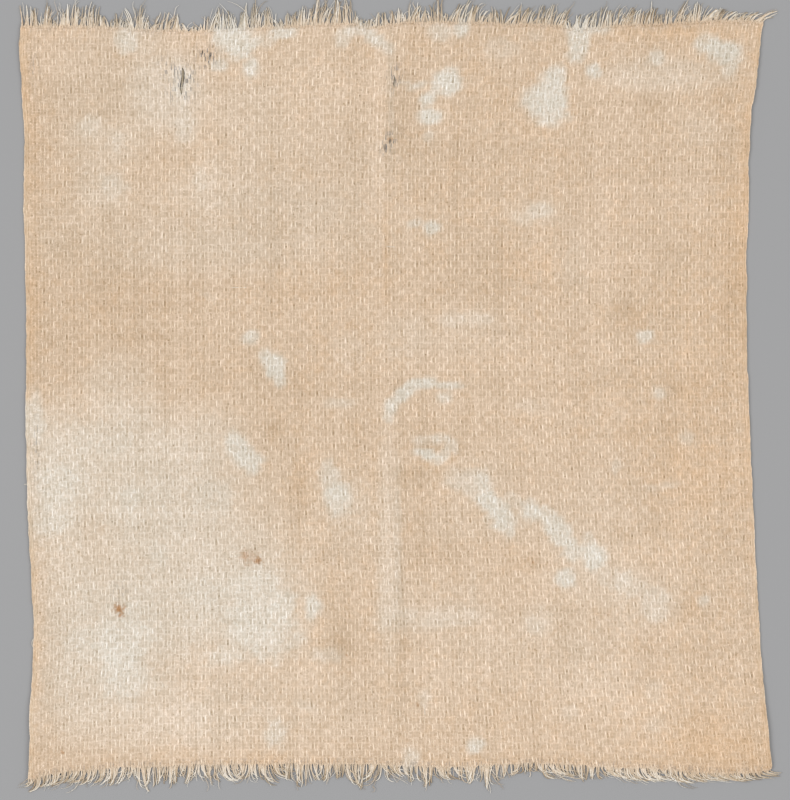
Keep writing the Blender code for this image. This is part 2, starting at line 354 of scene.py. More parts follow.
# %% [markdown]
# ## Where the dye has gone
# The pale patches are drawn as soft ovals. Each row gives an oval's middle, its half width and half
# height in millimetres, its turn in degrees and how far the colour has gone. Noise pushes the ovals' edges
# in and out, so that they end ragged along the yarns, and overlapping ovals join as bleaching does: what is
# left of the colour is the product of what each leaves. Water has also faded broad fields with no edge.

# %% Pale patches
PATCH_COLUMNS = ("x_px", "y_px", "wide", "high", "turn", "strength")
PATCHES = (
    # along the upper end
    (127, 41, 4.5, 6, 0, 0.65), (219, 65, 4, 3, 0, 0.7), (236, 42, 9, 7.5, -20, 0.9),
    (224, 30, 6, 4, 0, 0.8), (251, 68, 3.5, 5, 0, 0.8), (284, 33, 6, 3, 0, 0.85), (266, 42, 4, 3, 20, 0.35),
    (343, 38, 4, 4.5, 0, 0.5), (360, 31, 6, 2.5, 0, 0.6), (376, 40, 5.5, 3, -25, 0.75),
    (388, 48, 3, 3, 0, 0.5), (440, 32, 6, 3.5, 0, 0.5), (462, 31, 3.5, 4, 0, 0.85),
    (578, 40, 4.5, 9, 0, 0.85), (596, 30, 6.5, 2.5, 0, 0.7), (572, 55, 3, 3, 0, 0.4),
    (594, 71, 3.8, 3.8, 0, 0.85), (657, 57, 3.5, 3.5, 0, 0.6), (722, 52, 8.5, 5.5, -10, 0.95),
    (708, 44, 5.5, 5, 0, 0.6), (727, 61, 4.5, 6, 0, 0.55), (500, 48, 8, 4.5, 0, 0.25),
    (533, 37, 4, 3, 0, 0.25),
    # below them, left to right
    (182, 82, 4.5, 8, 0, 0.5), (185, 128, 5, 8, 0, 0.4), (90, 126, 5, 4, 0, 0.3), (120, 140, 4, 6, 0, 0.25),
    (112, 186, 5.5, 5, 0, 0.35), (200, 180, 3, 5, 0, 0.25), (447, 82, 6.5, 5.5, 10, 1),
    (436, 90, 4, 2.6, 20, 0.6), (428, 99, 4.2, 3.2, 0, 0.9), (430, 117, 5.2, 3.8, 0, 1),
    (429, 136, 3, 3, 0, 0.4), (418, 86, 5, 1.8, 15, 0.65), (404, 84, 4, 1.2, 0, 0.45),
    (551, 92, 7.5, 8.5, 10, 0.9), (548, 112, 8.5, 6.5, 0, 0.8), (535, 101, 7, 6.5, 0, 0.8),
    (557, 76, 4, 5, -15, 0.8), (541, 209, 6, 3.5, 0, 0.45), (524, 218, 5, 3, 0, 0.25),
    (432, 228, 3.6, 3.2, 0, 0.9), (414, 224, 3.5, 2, 0, 0.55), (478, 318, 6, 3.5, 0, 0.25),
    (455, 320, 6, 3, 0, 0.25), (207, 296, 5, 2, -35, 0.2),
    # the middle
    (250, 337, 3.6, 3.4, 0, 0.7), (266, 358, 3.2, 3.4, 0, 0.6), (274, 366, 4.8, 6, -15, 1),
    (280, 380, 2.6, 3, 0, 0.7), (236, 447, 4.8, 7, 25, 0.85), (250, 460, 5, 5.5, 35, 0.9),
    (331, 480, 4.5, 9, 10, 0.55), (335, 500, 6, 7.5, 0, 0.65), (344, 492, 3.5, 5, 0, 0.4),
    (392, 406, 3, 4.4, -35, 0.8), (401, 395, 3.4, 3.4, -40, 0.85), (411, 387, 4.2, 2.8, 25, 0.85),
    (426, 383, 5, 2.5, 0, 0.9), (447, 386, 7.5, 1.8, 0, 0.75), (443, 398, 4, 3, -20, 0.6),
    (388, 418, 2.6, 2.6, 0, 0.5), (340, 403, 7, 2.4, 0, 0.35), (425, 454, 5.5, 2.8, -15, 0.95),
    (437, 460, 3, 2.4, 0, 0.5), (446, 454, 2.2, 3, 0, 0.6), (426, 440, 6, 2.2, 0, 0.45),
    (441, 439, 3, 2.6, 0, 0.4), (452, 446, 2.6, 4, 40, 0.5), (470, 484, 10, 6, -10, 0.42),
    (484, 482, 3.4, 5, -20, 0.5), (489, 502, 4.2, 6.5, 30, 0.9), (502, 517, 9, 5.8, -45, 0.9),
    (512, 502, 4, 4, -20, 0.35), (532, 511, 6, 4.5, -20, 0.85), (550, 520, 6, 5, -35, 0.8),
    (563, 535, 5, 7.5, 25, 0.8), (573, 552, 4.5, 5, 0, 0.7), (593, 556, 5.4, 6.4, 20, 0.95),
    (588, 541, 3.5, 4.5, 0, 0.45), (566, 578, 4.2, 3.8, 0, 0.85), (604, 575, 3, 4, 0, 0.25),
    (620, 580, 4.4, 5, 0, 0.3), (646, 337, 4, 2.8, 10, 0.75), (658, 392, 3, 3.4, 30, 0.5),
    (687, 437, 3.6, 4, 0, 0.4), (616, 466, 2.4, 4, 0, 0.3), (660, 486, 9, 1.5, 5, 0.25),
    (530, 405, 8, 3, 0, 0.15),
    # within the field at the lower left, and along the lower end
    (60, 485, 9, 9, 0, 0.45), (52, 520, 8, 8, 0, 0.45), (34, 418, 5, 11, 0, 0.6), (132, 497, 5, 6, 0, 0.45),
    (105, 440, 12, 8, 0, 0.25), (215, 500, 8, 8, 0, 0.3), (158, 555, 5, 6, 0, 0.35),
    (205, 592, 11, 6, 0, 0.3), (285, 605, 5.5, 8, 0, 0.6), (262, 634, 16, 11, -15, 0.6),
    (224, 655, 8, 4, 0, 0.5), (256, 590, 12, 9, 0, 0.4), (122, 640, 11, 15, 0, 0.6),
    (130, 675, 11, 11, 0, 0.45), (100, 640, 9, 8, 0, 0.35), (75, 640, 5, 5, 0, 0.3),
    (312, 606, 3.6, 5.5, 0, 0.85), (325, 655, 7, 3.5, 0, 0.35), (655, 606, 7.5, 7, 0, 0.36),
    (630, 585, 6, 6, 0, 0.25), (704, 599, 3.2, 2.8, 0, 0.5), (535, 625, 4, 4, 0, 0.25),
    (476, 745, 4, 3.2, 0, 0.75), (277, 735, 4.8, 7, 0, 0.5), (412, 757, 3.6, 5, 0, 0.5),
    (424, 700, 3, 4.5, 0, 0.3), (570, 712, 4, 4, 0, 0.2), (653, 692, 4, 4, 0, 0.2), (654, 725, 5, 4, 0, 0.2),
    (306, 705, 6, 3, 0, 0.2),
)
print(len(PATCHES), "pale patches")

# %% Faded fields
FIELD_COLUMNS = ("x_px", "y_px", "wide", "high", "strength")
FADED_FIELDS = (
    (100, 100, 22, 36, 0.15), (180, 228, 110, 20, 0.14), (210, 705, 90, 20, 0.14), (405, 340, 12, 12, 0.16),
    (40, 520, 8, 18, 0.15), (585, 583, 16, 14, 0.12), (480, 522, 30, 10, 0.1), (250, 160, 30, 16, 0.1),
    (389, 556, 6, 56, 0.26), (412, 621, 20, 6, 0.22), (462, 615, 14, 5, 0.2), (540, 618, 8, 7, 0.2),
    (125, 470, 49, 29, 0.49), (185, 570, 50, 38, 0.46), (120, 640, 32, 29, 0.38), (55, 475, 17, 34, 0.3),
    (250, 605, 26, 22, 0.35), (150, 560, 76, 80, 0.1), (130, 725, 46, 14, 0.14), (215, 440, 14, 16, 0.15),
    (166, 92, 18, 20, 0.42), (100, 190, 13, 9, 0.22), (88, 128, 9, 6, 0.15), (128, 145, 11, 9, 0.15),
    (290, 150, 42, 52, 0.1), (200, 250, 38, 12, 0.13), (300, 200, 40, 8, 0.08), (250, 105, 18, 12, 0.1),
    (665, 75, 30, 8, 0.3), (700, 130, 9, 8, 0.15), (470, 330, 24, 12, 0.12), (575, 265, 6, 18, 0.14),
    (540, 212, 14, 7, 0.12), (640, 600, 18, 14, 0.18), (590, 530, 28, 26, 0.1), (480, 480, 18, 12, 0.12),
    (345, 500, 14, 16, 0.14), (350, 530, 12, 20, 0.12), (500, 650, 46, 20, 0.1), (440, 600, 18, 12, 0.1),
    (118, 390, 18, 16, 0.24), (66, 600, 13, 44, 0.26), (78, 690, 20, 16, 0.18), (140, 34, 10, 9, 0.22),
    (95, 152, 13, 12, 0.14), (200, 190, 15, 13, 0.12), (352, 350, 10, 8, 0.12), (395, 600, 8, 12, 0.12),
    (391, 95, 1.8, 28, 0.22), (398, 530, 1.6, 40, 0.22), (408, 614, 4, 3, 0.22), (440, 623, 15, 2, 0.18),
    (473, 592, 1.8, 13, 0.14), (390, 160, 22, 14, 0.08), (230, 710, 30, 14, 0.1), (600, 660, 20, 22, 0.1),
)
print(len(FADED_FIELDS), "faded fields")

# %% How far the dye has gone
RAGGED = ((9.0, 20, 0.16), (3.2, 21, 0.22), (1.6, 22, 0.16))  # lattice size, seed, and push in ovals' radii
FIELD_PUSH = 0.3  # share of that push for the fields
SOFT_EDGE = 0.42  # share of an oval's radius over which its edge fades, each way


def oval(x, y, row):
    """Distance from an oval's middle, in its own radii, along its turned axes."""
    x0, y0 = at_pixel(row["x_px"], row["y_px"])
    turn = math.radians(row.get("turn", 0))
    along_oval = (x - x0) * math.cos(turn) + (y - y0) * math.sin(turn)
    over_oval = (y - y0) * math.cos(turn) - (x - x0) * math.sin(turn)
    return np.hypot(along_oval / row["wide"], over_oval / row["high"])


def named(columns, table):
    """The rows of a table as dictionaries by column name."""
    return [dict(zip(columns, row)) for row in table]


def gone(x, y):
    """How far the dye has gone, 0 to 1: one less the product, over all ovals, of one less their shares."""
    push = layers(x, y, RAGGED)
    left = np.ones(np.shape(x))
    for row in named(PATCH_COLUMNS, PATCHES):
        left *= 1 - row["strength"] * smooth_step((1 + SOFT_EDGE - oval(x, y, row) - push) / (2 * SOFT_EDGE))
    for row in named(FIELD_COLUMNS, FADED_FIELDS):
        left *= 1 - row["strength"] * np.exp(-((oval(x, y, row) + FIELD_PUSH * push) ** 4))
    return 1 - left


print("dye gone in the first patch:", round(float(gone(*at_pixel(*PATCHES[0][:2]))), 2))

# %% [markdown]
# ## Where the colour is stronger, darker or lighter
# Dirt and dye have gathered in the selvedges, at the right-hand corners and beside the folds. Other places
# are darker or lighter: along the folds as painted light and shade of their slopes, and elsewhere only in
# tone. All of these are wide bell curves, given one by one: an amount times e to the minus square of the
# distance in the oval's own radii.

# %% Warm bands
WARM = (
    (722, 260, 20, 110, 0.18), (712, 710, 30, 24, 0.2), (340, 520, 14, 14, 0.15), (690, 33, 32, 3.2, 0.6),
    (722, 748, 26, 12, 0.75), (690, 400, 26, 60, 0.3), (386, 250, 1.8, 18, 0.7), (33, 260, 4.5, 60, 0.4),
    (36, 650, 3.5, 24, 0.3), (300, 480, 6, 18, 0.4), (275, 430, 7, 7, 0.35), (530, 265, 14, 9, 0.3),
    (335, 285, 10, 7, 0.3), (90, 250, 14, 9, 0.25), (110, 300, 18, 10, 0.2), (738, 250, 8, 40, 0.4),
    (440, 458, 11, 9, 0.25), (520, 562, 12, 7, 0.25), (628, 315, 14, 7, 0.35), (390, 690, 9, 14, 0.2),
    (275, 760, 5, 3, 0.35), (165, 752, 8, 5, 0.3), (420, 42, 9, 9, 0.2), (700, 480, 20, 20, 0.25),
    (690, 615, 9, 9, 0.25), (400, 760, 140, 2.4, 0.25), (640, 740, 14, 9, 0.15), (300, 385, 16, 8, 0.15),
    (60, 30, 26, 3, 0.25), (24, 75, 3, 20, 0.45), (745, 160, 6, 40, 0.25),
)
print(len(WARM), "warm places")

# %% Darker and lighter places, with painted light and shade along the folds
# Narrow rows along the middle folds are painted light and shade of the folds' slopes; the others change the
# tone
TONES_AND_PAINTED_FOLD_SHADE = (
    (100, 105, 22, 36, -0.16), (180, 228, 110, 20, -0.14), (40, 520, 8, 18, -0.12), (610, 700, 24, 16, 0.16),
    (580, 170, 26, 18, -0.12), (720, 60, 20, 24, -0.18), (700, 380, 30, 30, -0.06), (600, 640, 20, 14, -0.1),
    (230, 20, 12, 4, 0.1), (440, 690, 20, 16, 0.16), (300, 100, 30, 20, 0.1), (160, 700, 10, 20, 0.1),
    (120, 300, 32, 19, -0.5), (95, 283, 8, 8, -0.35), (140, 337, 12, 4, -0.3), (70, 250, 12, 6, -0.3),
    (185, 342, 6, 3, -0.3), (58, 98, 9, 5, -0.4), (404, 90, 6, 26, -0.4), (397, 138, 3.5, 7, -0.6),
    (385, 268, 3, 12, -0.4), (352, 140, 4, 10, -0.3), (440, 150, 16, 10, -0.2), (640, 60, 8, 4, -0.3),
    (655, 108, 7, 3.5, -0.45), (690, 147, 12, 6, -0.35), (745, 120, 4, 14, -0.3), (735, 285, 7, 20, -0.4),
    (625, 312, 9, 6, -0.6), (670, 257, 8, 6, -0.35), (480, 270, 22, 13, -0.2), (425, 444, 9, 3.5, -0.45),
    (412, 470, 9, 5, -0.35), (445, 545, 16, 12, -0.25), (445, 562, 6, 3, -0.35), (532, 562, 5, 3.5, -0.75),
    (275, 428, 4.5, 6, -0.75), (300, 500, 3, 12, -0.4), (305, 392, 10, 3, -0.25), (322, 575, 4, 20, -0.3),
    (340, 645, 8, 9, -0.55), (408, 644, 6, 3, -0.55), (655, 515, 9, 6, -0.4), (683, 606, 5, 4, -0.4),
    (470, 690, 4, 3, -0.3), (417, 704, 4, 3, -0.45), (530, 700, 4, 4, -0.3), (200, 717, 48, 1.8, -0.3),
    (660, 450, 18, 10, -0.2), (391, 110, 1.4, 50, -0.45), (401, 560, 1.4, 60, -0.4),
    (560, 385, 60, 1.5, -0.15), (240, 388, 50, 1.5, -0.2), (178, 95, 14, 24, 0.4), (55, 62, 7, 6, 0.3),
    (92, 126, 7, 6, 0.25), (122, 143, 9, 7, 0.3), (108, 194, 9, 6, 0.3), (203, 172, 5, 8, 0.35),
    (379, 130, 2.2, 45, 0.85), (213, 190, 3, 60, 0.25), (606, 240, 4, 45, 0.3), (650, 84, 24, 4, 0.35),
    (535, 213, 12, 4, 0.35), (485, 213, 12, 5, 0.2), (465, 320, 11, 4, 0.35), (612, 410, 6, 16, 0.3),
    (588, 625, 2, 30, 0.4), (622, 625, 2, 28, 0.4), (600, 672, 10, 8, 0.3), (650, 605, 8, 9, 0.35),
    (387, 540, 2.6, 45, 0.65), (440, 614, 18, 1.8, 0.4), (340, 735, 34, 9, 0.3), (130, 725, 40, 12, 0.35),
    (640, 715, 60, 16, 0.25), (560, 490, 20, 8, 0.15), (60, 500, 12, 26, 0.2), (215, 560, 9, 24, 0.25),
    (262, 630, 20, 14, 0.3), (120, 660, 16, 12, 0.25), (190, 40, 26, 14, 0.32), (190, 706, 30, 14, 0.3),
    (585, 702, 26, 12, 0.3), (262, 240, 24, 26, -0.22), (300, 380, 34, 22, -0.22), (240, 440, 60, 30, -0.16),
    (540, 575, 14, 12, 0.2), (620, 560, 22, 18, 0.22), (460, 250, 20, 20, -0.15), (60, 160, 26, 14, -0.22),
    (100, 100, 14, 20, -0.18), (378, 350, 2, 20, 0.25), (410, 340, 14, 9, 0.15), (300, 100, 30, 30, 0.15),
    (30, 480, 2, 30, 0.25), (215, 655, 10, 3, 0.3), (700, 650, 20, 20, 0.1), (250, 350, 3, 10, -0.2),
    (38, 280, 5, 50, -0.5), (60, 350, 20, 14, -0.3), (190, 365, 38, 14, -0.18), (340, 180, 30, 30, -0.1),
    (90, 183, 18, 5, -0.35), (80, 112, 24, 9, -0.25), (665, 24, 30, 3.5, -0.6), (225, 662, 22, 12, 0.3),
    (245, 497, 14, 5, 0.35), (115, 408, 16, 7, 0.25), (240, 752, 26, 7, 0.4), (350, 145, 20, 12, -0.2),
    (725, 768, 20, 4, -0.4), (80, 770, 12, 4, -0.3), (350, 345, 9, 12, 0.25), (385, 245, 9, 7, -0.3),
    (715, 105, 12, 9, -0.25), (725, 540, 9, 18, -0.25), (120, 625, 12, 14, -0.2),
)
SHADE_DEPTH = 0.17  # change of brightness for an amount of 1
print(len(TONES_AND_PAINTED_FOLD_SHADE), "darker and lighter places")

# %% Sheer places
SHEER = (
    (170, 71, 4, 2.6, 0.8), (184, 83, 6, 8, 0.75), (188, 79, 3, 5, 0.5), (203, 53, 3, 4, 0.95),
    (211, 58, 3, 4, 0.95), (206, 64, 3, 2, 0.6), (394, 80, 3, 5, 0.9), (390, 141, 3.4, 4.6, 1),
    (386, 150, 2.5, 3, 0.6), (398, 70, 2, 3, 0.6), (36.5, 450, 1, 16, 0.75), (35, 70, 2, 7, 0.6),
    (164, 62, 3, 4, 0.35), (120, 590, 5, 5, 0.35), (176, 96, 4, 3, 0.5),
)
print(len(SHEER), "sheer places")

# %% Tint of a point
SELVEDGE_REACH = 3.6  # width of the stronger colour along each selvedge
SELVEDGE_WARM = 0.35
WARM_BASE = 0.04
GROOVE_IN = 4.3  # a dark broken line, painted shade of a groove, lies this far inside the left selvedge
GROOVE_HALF = 0.5
GROOVE_PAINTED_SHADE = 1.1
GROOVE_BREAKS = (((1.0, 1.3), 42, 1.1),)
END_ROW = 1.0  # the last picks have opened in a row this far inside each cut end
END_REACH = 0.9
END_SHEER = 0.8
# Noise over the drawn ovals: lattice size, or sizes over and up, then seed and amount
WARM_NOISE = ((48, 33, 0.08), (17, 34, 0.11), (4, 32, 0.22))
LIGHT_NOISE = ((22, 35, 0.14), (8, 36, 0.08))
ENDS_NOISE = (((2.2, 60), 37, 0.22), ((5.0, 110), 38, 0.15))  # groups of ends that are darker or lighter
PICKS_NOISE = (((60, 1.9), 39, 0.17), ((120, 4.5), 40, 0.13))  # and groups of picks


def bells(x, y, table):
    """Sum over the table's rows of an amount times e to the minus square of the distance in radii."""
    rows = named(FIELD_COLUMNS, table)
    return sum(row["strength"] * np.exp(-(oval(x, y, row) ** 2)) for row in rows)


def tint_at(across, up):
    """Four numbers for each point, for the materials: dye gone, dye's strength, brightness and sheerness."""
    plan = in_plan(across, up)
    x, y = plan[..., 0], plan[..., 1]
    warm = bells(x, y, WARM) + SELVEDGE_WARM * np.exp(-((to_side(across) / SELVEDGE_REACH) ** 2))
    warm = layers(x, y, WARM_NOISE, WARM_BASE + warm)
    # The groove's dark line is painted shade, and the fold rows of the table are painted light and shade
    groove_shade = np.exp(-(((across * WIDTH - GROOVE_IN) / GROOVE_HALF) ** 2))
    groove_shade = groove_shade * layers(x, y, GROOVE_BREAKS, 0.5).clip(0, 1.5)
    light = layers(x, y, LIGHT_NOISE, bells(x, y, TONES_AND_PAINTED_FOLD_SHADE)) - GROOVE_PAINTED_SHADE * groove_shade
    brightness = 1 + SHADE_DEPTH * (light + layers(x, y, ENDS_NOISE) + layers(x, y, PICKS_NOISE))
    sheer = bells(x, y, SHEER) + END_SHEER * np.exp(-(((to_end(up) - END_ROW) / END_REACH) ** 2))
    return np.stack([gone(x, y), warm, brightness, np.clip(sheer, 0, 1)], axis=-1)


print("tint at the middle", tint_at(0.5, 0.5).round(2))

# %% [markdown]
# ## Putting arrays into meshes
# Every piece below is made of arrays: points in millimetres, and faces as rows of point numbers. One
# function writes them into Blender with foreach_set, which is quick enough for a hundred thousand faces.


# %% Mesh from arrays
def add_piece(name, points, faces, material, corner_maps=None, tint=None):
    """Makes the object: points in metres, faces as arrays of 3 or 4 columns, maps given for each corner."""
    mesh = bpy.data.meshes.new(name)
    corners = np.concatenate([group.ravel() for group in faces]).astype(np.int32)
    sizes = np.concatenate([np.full(len(group), group.shape[1]) for group in faces])
    starts = np.concatenate([[0], np.cumsum(sizes)[:-1]]).astype(np.int32)
    mesh.vertices.add(len(points))
    mesh.vertices.foreach_set("co", (np.asarray(points) * MM).astype(np.float32).ravel())
    mesh.loops.add(len(corners))
    mesh.loops.foreach_set("vertex_index", corners)
    mesh.polygons.add(len(sizes))
    mesh.polygons.foreach_set("loop_start", starts)
    mesh.update(calc_edges=True)
    mesh.polygons.foreach_set("use_smooth", np.ones(len(sizes), bool))
    for map_name, values in (corner_maps or {}).items():
        mesh.uv_layers.new(name=map_name).data.foreach_set("uv", values.astype(np.float32).ravel())
    if tint is not None:
        layer = mesh.attributes.new("tint", "FLOAT_COLOR", "POINT")
        layer.data.foreach_set("color", tint.astype(np.float32).ravel())
    mesh.materials.append(material)
    piece = bpy.data.objects.new(name, mesh)
    bpy.context.scene.collection.objects.link(piece)
    triangles = int((sizes - 2).sum())
    print(f"{name}: {triangles} triangles")
    return piece


# %% [markdown]
# ## Materials from small parts
# The finishes are node trees. Two helpers keep them short: one adds any shader node with its settings and
# what feeds it, and one is a single step of arithmetic.


# %% Materials and nodes
def new_material(name, roughness, sheen):
    """A Principled material whose even values are set on the shader's own sockets."""
    material = bpy.data.materials.new(name)
    material.use_nodes = True
    shader = material.node_tree.nodes["Principled BSDF"]
    even = {"Roughness": roughness, "Sheen Weight": sheen, "Sheen Roughness": 0.5, "Specular IOR Level": 0.25}
    for socket, value in even.items():
        shader.inputs[socket].default_value = value
    return material, material.node_tree, shader


def node(tree, kind, feeds=(), **settings):
    """A new node. settings are its properties, and feeds pairs an input with a value or another's output."""
    made = tree.nodes.new("ShaderNode" + kind)
    for name, value in settings.items():
        setattr(made, name, value)
    for name, value in feeds:
        if isinstance(value, bpy.types.NodeSocket):
            tree.links.new(value, made.inputs[name])
        else:
            made.inputs[name].default_value = value
    return made


def calc(tree, operation, *values):
    """The output of one Math node."""
    return node(tree, "Math", list(enumerate(values)), operation=operation).outputs[0]


# %% Steps of arithmetic
def times(tree, first, second):
    return calc(tree, "MULTIPLY", first, second)


def times_plus(tree, value, by, more):
    """The value times by, plus more."""
    return calc(tree, "MULTIPLY_ADD", value, by, more)


def plus(tree, first, second):
    return calc(tree, "ADD", first, second)


def minus(tree, first, second):
    return calc(tree, "SUBTRACT", first, second)


def whole(tree, value):
    """The value rounded down."""
    return calc(tree, "FLOOR", value)


def within_one(tree, value):
    """The value held between 0 and 1."""
    return node(tree, "Clamp", [("Value", value)]).outputs[0]


def scaled(tree, vector, by):
    """The vector, each part times its own number."""
    return node(tree, "VectorMath", [(0, vector), (1, by)], operation="MULTIPLY").outputs[0]


# %% Colours and noise
def blend_colors(tree, share, first, second, blend_type="MIX"):
    """The colour output of one Mix node."""
    feeds = [(0, share), (6, first), (7, second)]
    return node(tree, "Mix", feeds, data_type="RGBA", blend_type=blend_type).outputs[2]


def noise(tree, vector, scale, detail=2.0):
    """Smooth noise from 0 to 1 at a vector."""
    return node(tree, "TexNoise", [("Vector", vector), ("Scale", scale), ("Detail", detail)]).outputs["Fac"]


STREAK = (1, 0.4, 1)  # how the place is squeezed, so that the streaks are longer up the cloth
STREAKS = 1500.0  # streaks over a metre


def grain(tree, place):
    """Noise as long streaks up the cloth, like the fibres of the warp."""
    return noise(tree, scaled(tree, place, STREAK), STREAKS, detail=0.0)


# %% [markdown]
# ## Old linen's colour
# One function gives the colour to the ground, the floats and the yarns alike. It mixes the tan of the old
# dye with the near white of bare linen by how far the dye has gone, and goes towards orange where it is
# strong. Stains are round spots with ragged edges, set by their distance on Object coordinates.

# %% Stains
STAIN_COLUMNS = ("x_px", "y_px", "radius", "strength")
STAINS = (
    (119, 609, 2.6, 0.88), (120.5, 615, 1.5, 0.7), (245, 556, 3.2, 0.5), (258, 560, 2.4, 0.78),
    (251, 557, 4.4, 0.26), (63, 752, 1.2, 0.6), (418, 705, 1.1, 0.5), (347, 655, 0.9, 0.5),
    (533, 562, 1, 0.45), (390, 140, 1.4, 0.4),
)
BROWN = (0.37, 0.172, 0.052, 1)
STAIN_CORE = 0.3  # share of a stain's radius within which it has its full strength
STAIN_WOBBLE = (2.4, -0.2)  # the noise times the first, plus the second, multiplies the distance
COARSE = 700.0  # noise scale of ragged edges, for each metre


def stain_share(tree, place):
    """The strongest stain at a place: a stain's strength times a soft step of its radius less the distance,
    which noise makes longer and shorter."""
    wobble = times_plus(tree, noise(tree, place, COARSE, detail=4.0), *STAIN_WOBBLE)
    flat_place = scaled(tree, place, (1, 1, 0))
    total = 0.0
    for stain in named(STAIN_COLUMNS, STAINS):
        x, y = at_pixel(stain["x_px"], stain["y_px"])
        centre = (x * MM, y * MM, 0)
        far = node(tree, "VectorMath", [(0, flat_place), (1, centre)], operation="DISTANCE").outputs["Value"]
        rim = stain["radius"] * MM
        feeds = [("Value", times(tree, far, wobble)), ("From Min", rim), ("From Max", rim * STAIN_CORE)]
        feeds += [("To Min", 0.0), ("To Max", stain["strength"])]
        total = calc(tree, "MAXIMUM", node(tree, "MapRange", feeds, clamp=True).outputs[0], total)
    return total


# %% Colour of the dye
PALE_WOBBLE = (0.9, 0.55)  # noise times the first, plus the second, multiplies how far the dye has gone
MOTTLE, MOTTLED = 420.0, 1.2  # scale and amount of the dye's mottling
DYE_MIDDLE = 0.6  # taken from the strength, which the mottling then brings back
RED_POWER, BLUE_POWER = 0.87, 1.25  # dark linen is browner


def linen_color(tree, tan, pale, orange, place):
    """Tan, towards pale by the dye gone and towards orange by its strength, with stains over it."""
    tint = node(tree, "Attribute", attribute_name="tint")
    parts = node(tree, "SeparateColor", [("Color", tint.outputs["Color"])])
    ragged = times_plus(tree, noise(tree, place, COARSE, detail=3.0), *PALE_WOBBLE)
    pale_share = within_one(tree, times(tree, parts.outputs[0], ragged))
    off_middle = minus(tree, parts.outputs[1], DYE_MIDDLE)
    strong = times_plus(tree, noise(tree, place, MOTTLE), MOTTLED, off_middle)
    dye = blend_colors(tree, within_one(tree, strong), tan, orange)
    color = blend_colors(tree, pale_share, dye, pale)
    color = blend_colors(tree, stain_share(tree, place), color, BROWN)
    return color, parts.outputs[2], tint.outputs["Alpha"]


def shaded(tree, color, shade):
    """The colour times a brightness, which is raised to a power below 1 for red and above 1 for blue."""
    red, blue = calc(tree, "POWER", shade, RED_POWER), calc(tree, "POWER", shade, BLUE_POWER)
    by = node(tree, "CombineColor", [("Red", red), ("Green", shade), ("Blue", blue)]).outputs[0]
    return blend_colors(tree, 1.0, color, by, "MULTIPLY")


# %% [markdown]
# ## The ground of the weave
# Between the floats the cloth is plain weave, with 14 ends and as many picks to the centimetre, too fine to
# model yarn by yarn. The sheet's map counts ends and picks, so the material can draw each crossing: a yarn
# is the sine of the part of a count, warp on top where the sum of the counts is odd and weft where it is
# even. Each end and each pick has its own shade and its own slubs, which is what makes linen look like linen.

# %% Counts, chances and ramps
GROUND_TAN = (0.606, 0.463, 0.335, 1)
GROUND_PALE = (0.655, 0.598, 0.513, 1)
GROUND_ORANGE = (0.635, 0.447, 0.288, 1)


def yarn_counts(tree):
    """The end and pick numbers at a point, their whole numbers and what is left over."""
    counted = node(tree, "SeparateXYZ", [(0, node(tree, "UVMap", uv_map="weave").outputs[0])])
    ends, picks = counted.outputs[0], counted.outputs[1]
    return ends, picks, calc(tree, "FLOOR", ends), calc(tree, "FLOOR", picks)


def chance(tree, first, second, seed):
    """A random number from 0 to 1 for each pair of whole numbers, such as an end's and a pick's."""
    vector = node(tree, "CombineXYZ", [(0, first), (1, second), (2, seed)]).outputs[0]
    return node(tree, "TexWhiteNoise", [("Vector", vector)], noise_dimensions="3D").outputs["Value"]


def ramp(tree, value, start, end, low=0.0, high=1.0):
    """Low before start and high after end, with a smooth step between them."""
    feeds = [("Value", value), ("From Min", start), ("From Max", end), ("To Min", low), ("To Max", high)]
    return node(tree, "MapRange", feeds, interpolation_type="SMOOTHSTEP").outputs[0]


def slubs(tree, ends, picks, end_scale, pick_scale):
    """Noise stretched along the yarns: the counts are scaled before it is read."""
    feeds = [(0, times(tree, ends, end_scale)), (1, times(tree, picks, pick_scale))]
    return noise(tree, node(tree, "CombineXYZ", feeds).outputs[0], scale=1.0)


# %% Pattern of the blocks
# Where a part of the pattern begins and where it is full: rows are half rows from the middle of a row, and
# the others are blocks from the middle of a pair
ROW = (0.50, 0.34)
PLAIN_SQUARE = (0.22, 0.33)
PAIR_GAP = (0.07, 0.02)
ARCH_ROWS, ARCH_ENDS = (0.38, 0.47), (0.10, 0.22)
COLUMNS = 4  # floating ends in a block


def weave_pattern(tree, ends, picks):
    """Four shares at a point: in a plain square, in the gap within a pair, which gets painted shade, on the
    picks that stand up round a plain square, which get painted light, and on a column of ends that float.
    All come from the part left over in blocks."""
    half_rows = calc(tree, "DIVIDE", picks, ENDS / 2)
    half_row = whole(tree, half_rows)
    staggered = times_plus(tree, half_row, 0.5, calc(tree, "DIVIDE", ends, ENDS))
    block = whole(tree, staggered)
    from_pair = calc(tree, "PINGPONG", minus(tree, staggered, 0.25), 0.5)
    from_row = calc(tree, "ABSOLUTE", minus(tree, calc(tree, "FRACT", half_rows), 0.5))
    in_row = ramp(tree, from_row, *ROW)
    plain = times(tree, ramp(tree, from_pair, *PLAIN_SQUARE), in_row)
    gap_depth = calc(tree, "POWER", chance(tree, half_row, block, seed=3.0), 2.0)
    gap = times(tree, times(tree, ramp(tree, from_pair, *PAIR_GAP), in_row), gap_depth)
    lit_arch = times(tree, ramp(tree, from_row, *ARCH_ROWS), ramp(tree, from_pair, *ARCH_ENDS))
    lit_arch = times(tree, lit_arch, chance(tree, half_row, block, seed=7.0))
    column = calc(tree, "COSINE", times_plus(tree, ends, 2 * math.pi * COLUMNS / ENDS, -math.pi))
    return plain, gap, lit_arch, column


# %% Yarns at the crossings
END_SLUBS, PICK_SLUBS = 0.42, 0.18  # how much an end or a pick differs along its own length
END_STEP, PICK_STEP = 0.20, 0.16  # how far the noise moves along an end for each pick, and along a pick
APART = 7.3  # and from one yarn to the next, so that neighbours are unrelated


